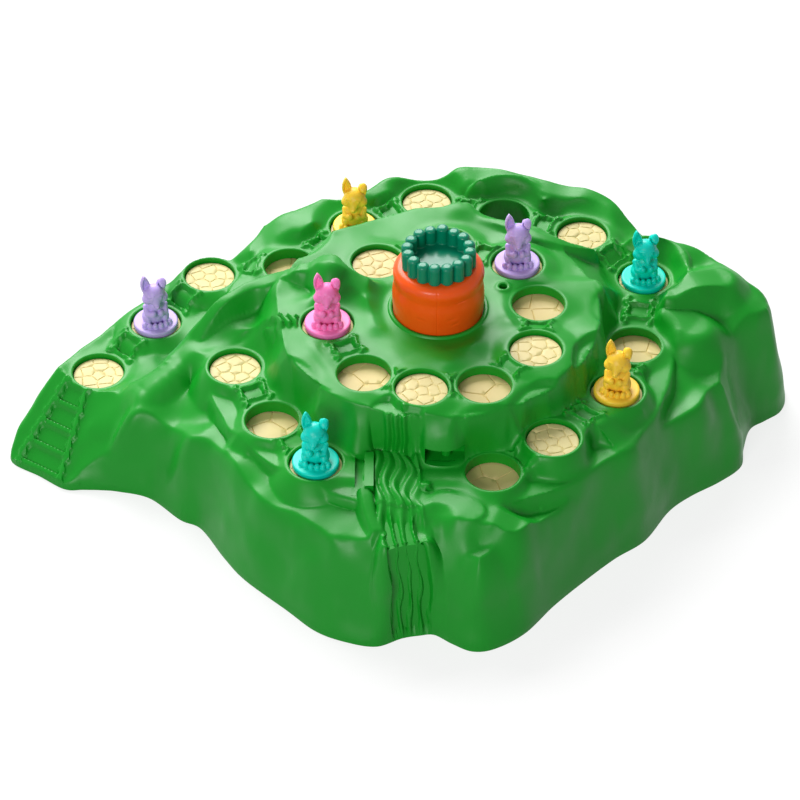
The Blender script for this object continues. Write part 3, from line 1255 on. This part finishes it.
# Rabbit pawns: one mould, in millimetres, facing the player
PAWN_BASE_RADIUS = 9.4
PAWN_BASE_HEIGHT = 2.9
PAWN_BASE_EDGE = 0.75
PAWN_GAP = 0.05
PAWN_SLIMNESS = 0.92
PAWN_LOWNESS = 0.95
PAWN_NET = ((-10.0, -10.0, -0.6), (10.0, 10.0, 28.6), 0.3)
RABBIT_TOES = [
    (oval_distance, 0.2, False, (x, y, 3.5), (1.2, 1.45, 1.55))
    for x, y in ((-5.3, -3.1), (-3.45, -4.3), (-1.2, -4.95), (1.2, -4.95), (3.45, -4.3), (5.3, -3.1))
]
RABBIT_BODY = [
    (oval_distance, 0.2, False, (0, 0.9, 7.2), (5.1, 4.7, 6.6)),
    (oval_distance, 1.0, False, (0, 0.1, 11.6), (4.7, 3.9, 3.9)),
    (oval_distance, 0.7, True, (4.0, -0.2, 5.6), (2.2, 3.6, 3.0)),
    (oval_distance, 0.5, False, (0, 5.0, 5.0), (2.0, 1.9, 2.0)),
]
RABBIT_ARMS = [
    (limb_distance, 0.3, True, (4.3, -0.6, 11.9), (4.0, -3.1, 9.6), 1.5, 1.45),
    (limb_distance, 0.4, True, (4.0, -3.1, 9.6), (1.95, -4.5, 9.9), 1.4, 1.35),
    (oval_distance, 0.3, True, (1.75, -4.6, 10.3), (1.35, 1.3, 1.7)),
]
RABBIT_HEAD = [
    (oval_distance, 0.5, False, (0, -0.6, 18.6), (4.9, 4.5, 4.5)),
    (oval_distance, 1.0, True, (3.5, -1.5, 16.9), (2.5, 2.7, 2.3)),
    (limb_distance, 1.2, False, (0, -3.4, 17.2), (0, -5.9, 15.2), 2.5, 1.15),
    (oval_distance, 0.2, False, (0, -6.9, 15.6), (0.65, 0.5, 0.5)),
    (oval_distance, 0.25, True, (1.95, -4.55, 18.7), (0.75, 0.55, 0.85)),
    (limb_distance, 0.5, True, (1.3, -4.5, 20.0), (3.1, -3.7, 19.7), 0.45, 0.5),
]
# The ears: where each grows and how it leans out and back, and the folded one's tip and its lean
UPRIGHT_EAR = ((-3.35, 0.9, 18.9), -0.1, 0.05)
FOLDED_EAR = ((3.3, 0.9, 18.6), 0.1, 0.0)
EAR_TIP = ((4.05, -0.75, 24.1), (1.75, 0.9, 2.2), 0.72)


def ear_axes(x, y, z, base, lean_out, lean_back):
    """Across, depth and along of points near an ear that leans."""
    px, py, pz = x - base[0], y - base[1], z - base[2]
    across = px * math.cos(lean_out) - pz * math.sin(lean_out)
    up = px * math.sin(lean_out) + pz * math.cos(lean_out)
    depth = py * math.cos(lean_back) - up * math.sin(lean_back)
    return across, depth, py * math.sin(lean_back) + up * math.cos(lean_back)


def rabbit_distance(x, y, z):
    """A sitting rabbit with one upright and one folded ear, on a round base with toes on its rim."""
    base = drum_distance(np.hypot(x, y), z, PAWN_BASE_RADIUS, 0.0, PAWN_BASE_HEIGHT, PAWN_BASE_EDGE)
    toes = blended(x, y, z, RABBIT_TOES)
    x = x / PAWN_SLIMNESS
    z = PAWN_BASE_HEIGHT + (z - PAWN_BASE_HEIGHT) / PAWN_LOWNESS
    body = smooth_lower(blended(x, y, z, RABBIT_BODY), toes, 0.3)
    body = smooth_lower(body, blended(x, y, z, RABBIT_ARMS), 0.3)
    head = blended(x, y, z, RABBIT_HEAD)
    across, depth, up = ear_axes(x, y, z, *UPRIGHT_EAR)
    ear = blade_distance(across, depth, up - 3.4, 2.2, 5.5, 1.15, 0.8)
    hollow = blade_distance(across - 0.1, depth + 1.25, up - 3.3, 1.3, 4.2, 0.85, 0.5)
    ear = smooth_higher(ear, -hollow, 0.35)
    across, depth, up = ear_axes(x, y, z, *FOLDED_EAR)
    folded = blade_distance(across, depth, up - 3.4, 2.15, 5.6, 1.15, 0.8)
    folded = smooth_higher(folded, up - 6.4, 1.6)
    hollow = blade_distance(across + 0.3, depth + 1.25, up - 2.9, 1.5, 3.6, 0.85, 0.5)
    folded = smooth_higher(folded, -hollow, 0.35)
    (tip_x, tip_y, tip_z), radii, lean = EAR_TIP
    py, pz = y - tip_y, z - tip_z
    flap = oval_distance(x - tip_x, py * math.cos(lean) - pz * math.sin(lean),
                         py * math.sin(lean) + pz * math.cos(lean), (0, 0, 0), radii)
    folded = smooth_lower(folded, flap, 0.5)
    head = smooth_lower(head, ear, 0.6)
    head = smooth_lower(head, folded, 0.6)
    return smooth_lower(smooth_lower(body, base, 0.3), head, 0.45)


def rabbit_pieces():
    """The pawns: one mould in four colours, each on its space."""
    points, faces = netted(rabbit_distance, *PAWN_NET)
    points[:, 2] = np.maximum(points[:, 2], 0.0)
    for colour, number, turn, material in RABBITS:
        c, s = math.cos(math.radians(turn)), math.sin(math.radians(turn))
        x, y, z = place(number)
        stood = np.column_stack([points[:, 0] * c - points[:, 1] * s + x,
                                 points[:, 0] * s + points[:, 1] * c + y,
                                 points[:, 2] + z - TILE_SINK + PAWN_GAP])
        rabbit = mesh_object("rabbit_body_" + colour, stood, faces)
        smooth(rabbit)
        rabbit.data.materials.append(material)
        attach(rabbit, "pawn_" + colour)
        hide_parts("rabbit_" + colour)


# Carrot and leaves
CARROT_BOTTOM = 68.8
CARROT_TOP = 93.8
CARROT_PROFILE = [(18.3, 68.8), (18.45, 70.5), (18.55, 73.0), (18.7, 76.0), (18.75, 79.0), (18.6, 81.8),
                  (18.25, 84.2), (18.1, 86.0), (18.35, 88.0), (18.5, 89.5), (18.3, 91.0), (17.7, 92.3),
                  (16.6, 93.25), (15.2, 93.7), (13.5, 93.8)]
CARROT_INSIDE = [(0.0, 93.8), (0.0, 87.3), (5.0, 87.3), (5.0, 70.8), (7.5, 70.8), (7.5, 91.6),
                 (16.3, 91.6), (16.3, 68.8)]
CARROT_INSIDE_RADIUS = 16.4
CARROT_POINTS = 540
CARROT_SHARP_ANGLE = 50.0
CARROT_WOBBLE = [(0.12, 9.0, 21)]
PARTING_LINES = (-92.0, 88.0)
PARTING_LINE_DEPTH = 0.16
PARTING_LINE_WIDTH = 0.34
# Shallow folds in the carrot's skin: its angle, height, length and lean, in degrees and millimetres
CARROT_FOLDS = [(-74, 78.8, 5.0, 0.25), (-68, 76.3, 4.0, 0.3), (-112, 78.2, 4.5, -0.12),
                (-20, 80.0, 6.0, 0.1), (25, 77.0, 5.0, -0.2), (70, 81.0, 6.0, 0.15),
                (130, 77.5, 5.0, 0.1), (165, 80.5, 4.0, -0.15), (-150, 78.8, 5.5, 0.1),
                (-58, 86.2, 6.0, 0.05), (100, 75.5, 4.0, 0.2)]
FOLD_DEPTH = 0.22
FOLD_WIDTH = 0.55


def carrot_piece():
    """The hollow knob, with its parting lines and shallow folds."""
    skin = rounded_line(CARROT_PROFILE, 7, closed=False)
    points, faces = turned_mesh(CARROT_INSIDE + skin.tolist(), CARROT_POINTS)
    reach = np.hypot(points[:, 0], points[:, 1])
    turn = np.degrees(np.arctan2(points[:, 1], points[:, 0]))
    outside = (reach > CARROT_INSIDE_RADIUS) & (points[:, 2] > CARROT_BOTTOM + 0.01)

    def round_from(at):
        return np.radians((turn - at + 180.0) % 360.0 - 180.0) * reach

    dent = np.zeros(len(points))
    for at in PARTING_LINES:
        dent += PARTING_LINE_DEPTH * ridge(round_from(at), PARTING_LINE_WIDTH)
    for at, height, length, lean in CARROT_FOLDS:
        off = round_from(at)
        rise = points[:, 2] - height - lean * off
        dent += FOLD_DEPTH * ridge(rise, FOLD_WIDTH) * fade(np.abs(off), 0.2 * length, 0.4 * length)
    wobble = lumps_of(points, CARROT_WOBBLE) * smoothstep(points[:, 2], 73.0, 77.0)
    share = np.where(outside, 1.0 + (wobble - dent) / np.maximum(reach, 1.0), 1.0)
    points[:, 0] *= share
    points[:, 1] *= share
    carrot = mesh_object("carrot", points, faces)
    merge(carrot)
    smooth(carrot, CARROT_SHARP_ANGLE)
    carrot.data.materials.append(ORANGE)
    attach(carrot, "carrot_rotor")
    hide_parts("carrot_body")


LEAF_COUNT = 16
LEAF_RING_RADIUS = 12.7
LEAF_RADIUS = 2.5
LEAF_FIRST_TURN = math.radians(-7.5)
LEAF_EDGE = 1.45
LEAF_FLOOR = 1.6
LEAF_NET = ((-15.9, -15.9, -0.6), (15.9, 15.9, 9.7), 0.28)
LEAF_HEIGHTS = (8.4, 8.2, 8.6, 8.2, 9.0, 8.3, 8.5, 8.1, 8.3, 8.5, 8.7, 8.2, 8.5, 8.4, 8.7, 8.3)


def leaf_distance(x, y, z):
    """A ring of round-topped leaves on a plate, cut off flat at the carrot's top."""
    pitch = 2 * math.pi / LEAF_COUNT
    number = np.floor((np.arctan2(y, x) - LEAF_FIRST_TURN + pitch / 2) / pitch).astype(int)
    result = np.full(np.shape(x), 1e9)
    heights = np.array(LEAF_HEIGHTS)
    for neighbour in (-1, 0, 1):
        at = (number + neighbour) % LEAF_COUNT
        angle = at * pitch + LEAF_FIRST_TURN
        off = np.hypot(x - LEAF_RING_RADIUS * np.cos(angle), y - LEAF_RING_RADIUS * np.sin(angle))
        leaf = drum_distance(off, z, LEAF_RADIUS, -3.0, heights[at], LEAF_EDGE)
        result = smooth_lower(result, leaf, 0.15)
    floor_plate = drum_distance(np.hypot(x, y), z, LEAF_RING_RADIUS + 0.4, -0.6, LEAF_FLOOR, 0.3)
    return smooth_higher(smooth_lower(result, floor_plate, 0.6), -z, 0.1)


def leaves_piece():
    points, faces = netted(leaf_distance, *LEAF_NET)
    points[:, 2] += CARROT_TOP
    leaves = mesh_object("leaves", points, faces)
    smooth(leaves)
    leaves.data.materials.append(LEAF)
    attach(leaves, "carrot_rotor")
    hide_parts("carrot_leaves")


# Trap disc: its two levels, paved with stones. The lower one's drop hole is at a reach and a turn;
# the raised one's is an oval from one reach to another at a turn
DISC_THICKNESS = 2.0
DISC_WALL = 1.6
DISC_RIB_HEIGHT = 3.0
DISC_RIB_HALF = 0.7
DISC_RIB_COUNT = 6
WELL_RADIUS = 25.0
DROP_RADIUS = 10.2
OUTER_DROP = (80.0, math.radians(69.4))
INNER_DROP = (41.5, 50.8, math.radians(147.4))
RING_SEED = 31
DECK_SEED = 32
STONE_PITCH = 11.0
STONE_LENGTH = 1.25
FIRST_STONES_AT = 4.0
STONE_TURN_WOBBLE = 0.2
STONE_REACH_WOBBLE = 0.9
CRACK_FROM_RIM = 0.35
RIM_POINTS_FOR_EACH_MM = 6.2
HOLE_POINTS = 72
PAVING_GRID_STEP = 3.0


def ring_seeds(start, end, rng):
    """Stones in rings: plan points about a stone apart."""
    seeds = []
    for number in range(int((end - start) / STONE_PITCH) + 4):
        reach = start + (number - 1) * STONE_PITCH
        if reach < FIRST_STONES_AT:
            continue
        count = int(round(2 * math.pi * reach / (STONE_PITCH * STONE_LENGTH)))
        first = rng.uniform(0, 2 * math.pi)
        for k in range(count):
            turn = first + (k + rng.uniform(-STONE_TURN_WOBBLE, STONE_TURN_WOBBLE)) * 2 * math.pi / count
            far = reach + rng.uniform(-STONE_REACH_WOBBLE, STONE_REACH_WOBBLE)
            seeds.append((far * math.cos(turn), far * math.sin(turn)))
    return seeds


def paved_ring(name, inner, outer, top, hole, in_hole, seed):
    """A flat ring with a drop hole, cracked into stones on top."""
    rng = np.random.default_rng(seed)
    edges = stone_edges(ring_seeds(inner, outer, rng))
    loops = [circle(0, 0, radius, int(RIM_POINTS_FOR_EACH_MM * radius)) for radius in (outer, inner)]
    loops.append(hole)
    reach = outer + 4.0
    gx, gy = grid_points(PAVING_GRID_STEP, (-reach, -reach), (reach, reach))

    def inside(x, y):
        r = np.hypot(x, y)
        return (r < outer - CRACK_FROM_RIM) & (r > inner + CRACK_FROM_RIM) & ~in_hole(x, y, CRACK_FROM_RIM)

    plan, depth, faces = relief_plate(loops, inside, edges, np.stack([gx.ravel(), gy.ravel()], -1))
    middle = plan[faces].mean(1)
    r = np.hypot(middle[:, 0], middle[:, 1])
    keep = (r < outer) & (r > inner * math.cos(math.pi / len(loops[1])))
    keep &= ~in_hole(middle[:, 0], middle[:, 1], 0.0)
    points, faces = plate_mesh(name, plan, depth, faces[keep], top, top - DISC_THICKNESS, loops)
    piece = mesh_object(name, points, faces)
    merge(piece)
    return piece


def disc_pieces():
    """The two paved levels of the disc: its lower ring, with ribs below, and its raised deck."""
    reach, turn = OUTER_DROP
    dx, dy = reach * math.cos(turn), reach * math.sin(turn)
    ring = paved_ring("trap_ring", DISC_STEP_RADIUS - DISC_WALL, DISC_RADIUS, DISC_TOP,
                      circle(dx, dy, DROP_RADIUS, HOLE_POINTS)[::-1],
                      lambda x, y, more: np.hypot(x - dx, y - dy) < DROP_RADIUS + more, RING_SEED)
    points, faces = [], []
    for number in range(DISC_RIB_COUNT):
        angle = turn + 2 * math.pi * (number + 0.5) / DISC_RIB_COUNT
        c, s = math.cos(angle), math.sin(angle)
        at = len(points)
        for z in (DISC_TOP - DISC_THICKNESS - DISC_RIB_HEIGHT, DISC_TOP - DISC_THICKNESS / 2):
            for v in (-DISC_RIB_HALF, DISC_RIB_HALF):
                for u in (DISC_STEP_RADIUS - DISC_WALL / 2, DISC_RADIUS - DISC_THICKNESS):
                    points.append((u * c - v * s, u * s + v * c, z))
        faces += [tuple(at + k for k in face) for face in BOX_FACES]
    combined(ring, mesh_object("ribs", points, faces), "UNION")
    near, far, inner_turn = INNER_DROP
    c, s = math.cos(inner_turn), math.sin(inner_turn)
    half = np.linspace(-math.pi / 2, math.pi / 2, HOLE_POINTS // 2)
    oval = [(far + DROP_RADIUS * math.cos(a), DROP_RADIUS * math.sin(a)) for a in half]
    oval += [(near - DROP_RADIUS * math.cos(a), -DROP_RADIUS * math.sin(a)) for a in half]
    hole = np.array([(u * c - v * s, u * s + v * c) for u, v in oval])

    def in_inner_drop(x, y, more):
        u, v = x * c + y * s, y * c - x * s
        return np.hypot(u - np.clip(u, near, far), v) < DROP_RADIUS + more

    deck = paved_ring("trap_deck", WELL_RADIUS - DISC_WALL, DISC_STEP_RADIUS, DISC_RAISED_TOP,
                      hole[::-1], in_inner_drop, DECK_SEED)
    for piece, node in ((ring, "disc_ring"), (deck, "disc_deck")):
        smooth(piece, PAVING_SHARP_ANGLE)
        piece.data.materials.clear()
        piece.data.materials.append(BEIGE)
        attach(piece, "carrot_rotor")
        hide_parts(node)


# Camera: the photograph's viewing angle, with the object where the picture has it
CAMERA_PITCH = math.radians(41.0)
CAMERA_VIEW = math.radians(14.0)
CAMERA_DISTANCE = 1395.18
CAMERA_TARGET = (-15.6, 23.7, 0.0)
camera_data = bpy.data.cameras.new("camera")
camera_data.sensor_width = 36.0
camera_data.lens = camera_data.sensor_width / 2 / math.tan(CAMERA_VIEW / 2)
camera_data.clip_end = 20.0
camera = bpy.data.objects.new("camera", camera_data)
bpy.context.scene.collection.objects.link(camera)
look = Vector((0.0, math.cos(CAMERA_PITCH), -math.sin(CAMERA_PITCH)))
camera.location = (Vector(CAMERA_TARGET) + Vector(CARROT_OFFSET)) * MM - look * CAMERA_DISTANCE * MM
camera.rotation_mode = "QUATERNION"
camera.rotation_quaternion = look.to_track_quat("-Z", "Y")
bpy.context.scene.camera = camera


def srgb(red, green, blue):
    """A colour of 0 to 255 as Blender's linear one."""
    return tuple((v / 255 / 12.92) if v / 255 <= 0.04045 else ((v / 255 + 0.055) / 1.055) ** 2.4
                 for v in (red, green, blue)) + (1.0,)


# How a material's textures show: their scales and details
TONE_NOISE = (22.0, 3.0)
GLOSS_NOISE = (90.0, 4.0)
SKIN_NOISE = (900.0, 2.0)
GLOSS_GRAIN = 0.25
SCRATCH_NOISE = (1500.0, 3.0)


def new_material(name):
    """A material with its nodes, its links and its shader."""
    material = bpy.data.materials.new(name)
    material.use_nodes = True
    nodes = material.node_tree.nodes
    return material, nodes, material.node_tree.links, nodes["Principled BSDF"]


def noise_node(nodes, links, spot, scale, detail):
    noise = nodes.new("ShaderNodeTexNoise")
    noise.inputs["Scale"].default_value = scale
    noise.inputs["Detail"].default_value = detail
    links.new(spot.outputs["Object"], noise.inputs["Vector"])
    return noise


def noisy_gloss(nodes, links, shader, noise, low, high):
    """A roughness that changes with the noise."""
    gloss = nodes.new("ShaderNodeMapRange")
    gloss.inputs["To Min"].default_value = low
    gloss.inputs["To Max"].default_value = high
    links.new(noise.outputs["Fac"], gloss.inputs["Value"])
    links.new(gloss.outputs["Result"], shader.inputs["Roughness"])


def noisy_skin(nodes, links, shader, noise, strength, distance):
    """A fine uneven surface."""
    relief = nodes.new("ShaderNodeBump")
    relief.inputs["Strength"].default_value = strength
    relief.inputs["Distance"].default_value = distance
    links.new(noise.outputs["Fac"], relief.inputs["Height"])
    links.new(relief.outputs["Normal"], shader.inputs["Normal"])


def plastic(name, colour, roughness, shade, glow=0.0, bump=0.06, shine=0.35):
    """Moulded plastic: slow changes of tone, small changes of gloss and a fine uneven skin."""
    material, nodes, links, shader = new_material(name)
    spot = nodes.new("ShaderNodeTexCoord")
    ramp = nodes.new("ShaderNodeMix")
    ramp.data_type = "RGBA"
    ramp.inputs["A"].default_value = tuple(v * shade for v in colour[:3]) + (1.0,)
    ramp.inputs["B"].default_value = colour
    links.new(noise_node(nodes, links, spot, *TONE_NOISE).outputs["Fac"], ramp.inputs["Factor"])
    links.new(ramp.outputs["Result"], shader.inputs["Base Color"])
    noisy_gloss(nodes, links, shader, noise_node(nodes, links, spot, *GLOSS_NOISE),
                roughness * (1.0 - GLOSS_GRAIN), roughness * (1.0 + GLOSS_GRAIN))
    noisy_skin(nodes, links, shader, noise_node(nodes, links, spot, *SKIN_NOISE), bump, 0.0003)
    shader.inputs["IOR"].default_value = 1.5
    shader.inputs["Specular IOR Level"].default_value = shine
    if glow:
        shader.inputs["Subsurface Weight"].default_value = glow
        shader.inputs["Subsurface Radius"].default_value = (1.0, 1.0, 1.0)
        shader.inputs["Subsurface Scale"].default_value = 0.002
    return material


GREEN = plastic("hill_green", srgb(6, 148, 30), roughness=0.4, shade=0.86, shine=0.3)

hill = hill_piece()
hill.data.materials.clear()
hill.data.materials.append(GREEN)
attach(hill, "hill")
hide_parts("hill_shell")

CREAM = plastic("tile_cream", srgb(222, 206, 145), roughness=0.45, shade=0.95, bump=0.05, shine=0.25)
BEIGE = plastic("disc_beige", srgb(228, 206, 140), roughness=0.45, shade=0.93, bump=0.05, shine=0.25)
ORANGE = plastic("carrot_orange", srgb(255, 92, 14), roughness=0.3, shade=0.95, glow=0.15, bump=0.03,
                 shine=0.3)
LEAF = plastic("leaf_green", srgb(0, 134, 100), roughness=0.2, shade=0.88, bump=0.02, shine=0.25)
PAWN_SKIN = {"glow": 0.3, "bump": 0.04, "shine": 0.25}
YELLOW = plastic("pawn_yellow", srgb(255, 208, 62), roughness=0.36, shade=0.97, **PAWN_SKIN)
PURPLE = plastic("pawn_purple", srgb(196, 172, 236), roughness=0.36, shade=0.96, **PAWN_SKIN)
TEAL = plastic("pawn_teal", srgb(0, 214, 196), roughness=0.34, shade=0.96, **PAWN_SKIN)
PINK = plastic("pawn_pink", srgb(255, 130, 196), roughness=0.36, shade=0.96, **PAWN_SKIN)
WHITE = plastic("mechanism_white", srgb(226, 226, 218), roughness=0.5, shade=0.93)
# Each pawn's name, space, turn in degrees and material
RABBITS = [
    ("purple_a", 2, 16, PURPLE), ("yellow_a", 5, -4, YELLOW), ("teal_a", 9, 8, TEAL),
    ("yellow_b", 11, -14, YELLOW), ("teal_b", 14, -6, TEAL), ("pink", 17, 0, PINK),
    ("purple_b", 23, 2, PURPLE),
]


def brushed_steel(name):
    """Turned and pressed steel: fine scratches round the axis and a soft uneven gloss."""
    material, nodes, links, shader = new_material(name)
    shader.inputs["Metallic"].default_value = 1.0
    shader.inputs["Base Color"].default_value = srgb(196, 197, 200)
    scratch = noise_node(nodes, links, nodes.new("ShaderNodeTexCoord"), *SCRATCH_NOISE)
    noisy_gloss(nodes, links, shader, scratch, 0.22, 0.45)
    noisy_skin(nodes, links, shader, scratch, 0.08, 0.0001)
    return material


STEEL = brushed_steel("steel")
tile_pieces()
disc_pieces()
carrot_piece()
leaves_piece()
rabbit_pieces()
# The hidden inner pieces show their solids' own meshes
for nodes_of, material in ((("disc_riser", "disc_well"), BEIGE), (("drive_shaft", "click_wheel"), WHITE),
                           (("click_spring", "click_spring_screw", "retaining_screw", "retaining_washer"),
                            STEEL)):
    for node in nodes_of:
        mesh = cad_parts[node].data
        mesh.materials.clear()
        mesh.materials.append(material)

# Floor, backdrop and light
FLOOR_REACH = 4000.0
FLOOR_HEIGHT = -0.05
FLOOR_GREY = (0.4, 0.4, 0.4, 1.0)
FLOOR_SEEN_GREY = (0.25, 0.25, 0.25, 1.0)
FLOOR_SEEN_GLOW = 0.78
SKY_STRENGTH = 0.25


def show_white(nodes, links, kept, shown, output):
    """One shader for the camera and for what metal and glass show, and another for the light."""
    path = nodes.new("ShaderNodeLightPath")
    ray = path.outputs["Is Camera Ray"]
    for other in ("Is Transmission Ray", "Is Glossy Ray"):
        either = nodes.new("ShaderNodeMath")
        either.operation = "MAXIMUM"
        links.new(ray, either.inputs[0])
        links.new(path.outputs[other], either.inputs[1])
        ray = either.outputs[0]
    choose = nodes.new("ShaderNodeMixShader")
    links.new(ray, choose.inputs[0])
    links.new(kept.outputs[0], choose.inputs[1])
    links.new(shown.outputs[0], choose.inputs[2])
    links.new(choose.outputs[0], nodes[output].inputs["Surface"])


floor_corners = [(side * FLOOR_REACH, end * FLOOR_REACH, FLOOR_HEIGHT)
                 for side, end in ((-1, -1), (1, -1), (1, 1), (-1, 1))]
floor = mesh_object("floor", floor_corners, [(0, 1, 2, 3)])
backdrop, nodes, links, first_shader = new_material("backdrop")
nodes.remove(first_shader)
paper = nodes.new("ShaderNodeBsdfDiffuse")
paper.inputs["Color"].default_value = FLOOR_GREY
veil = nodes.new("ShaderNodeBsdfDiffuse")
veil.inputs["Color"].default_value = FLOOR_SEEN_GREY
glow = nodes.new("ShaderNodeEmission")
glow.inputs["Strength"].default_value = FLOOR_SEEN_GLOW
seen = nodes.new("ShaderNodeAddShader")
links.new(veil.outputs[0], seen.inputs[0])
links.new(glow.outputs[0], seen.inputs[1])
show_white(nodes, links, paper, seen, "Material Output")
floor.data.materials.append(backdrop)

scene = bpy.context.scene
scene.view_settings.view_transform = "Standard"
world = bpy.data.worlds.new("world")
scene.world = world
world.use_nodes = True
nodes = world.node_tree.nodes
sky = nodes["Background"]
sky.inputs["Color"].default_value = (1.0, 1.0, 1.0, 1.0)
sky.inputs["Strength"].default_value = SKY_STRENGTH
white = nodes.new("ShaderNodeBackground")
white.inputs["Strength"].default_value = 1.0
show_white(nodes, world.node_tree.links, sky, white, "World Output")


LIGHT_TARGET = (0.0, 0.0, 0.05)


def soft_light(name, spot, width, height, power):
    """A soft box, in metres, that faces the middle of the game."""
    data = bpy.data.lights.new(name, "AREA")
    data.shape = "RECTANGLE"
    data.size = width
    data.size_y = height
    data.energy = power
    light = bpy.data.objects.new(name, data)
    bpy.context.scene.collection.objects.link(light)
    light.location = spot
    light.rotation_mode = "QUATERNION"
    light.rotation_quaternion = (Vector(LIGHT_TARGET) - Vector(spot)).to_track_quat("-Z", "Y")


soft_light("key", (-0.5, 1.25, 1.25), 1.5, 1.0, 54.0)
soft_light("fill", (-0.6, -1.4, 0.75), 0.7, 0.5, 13.0)
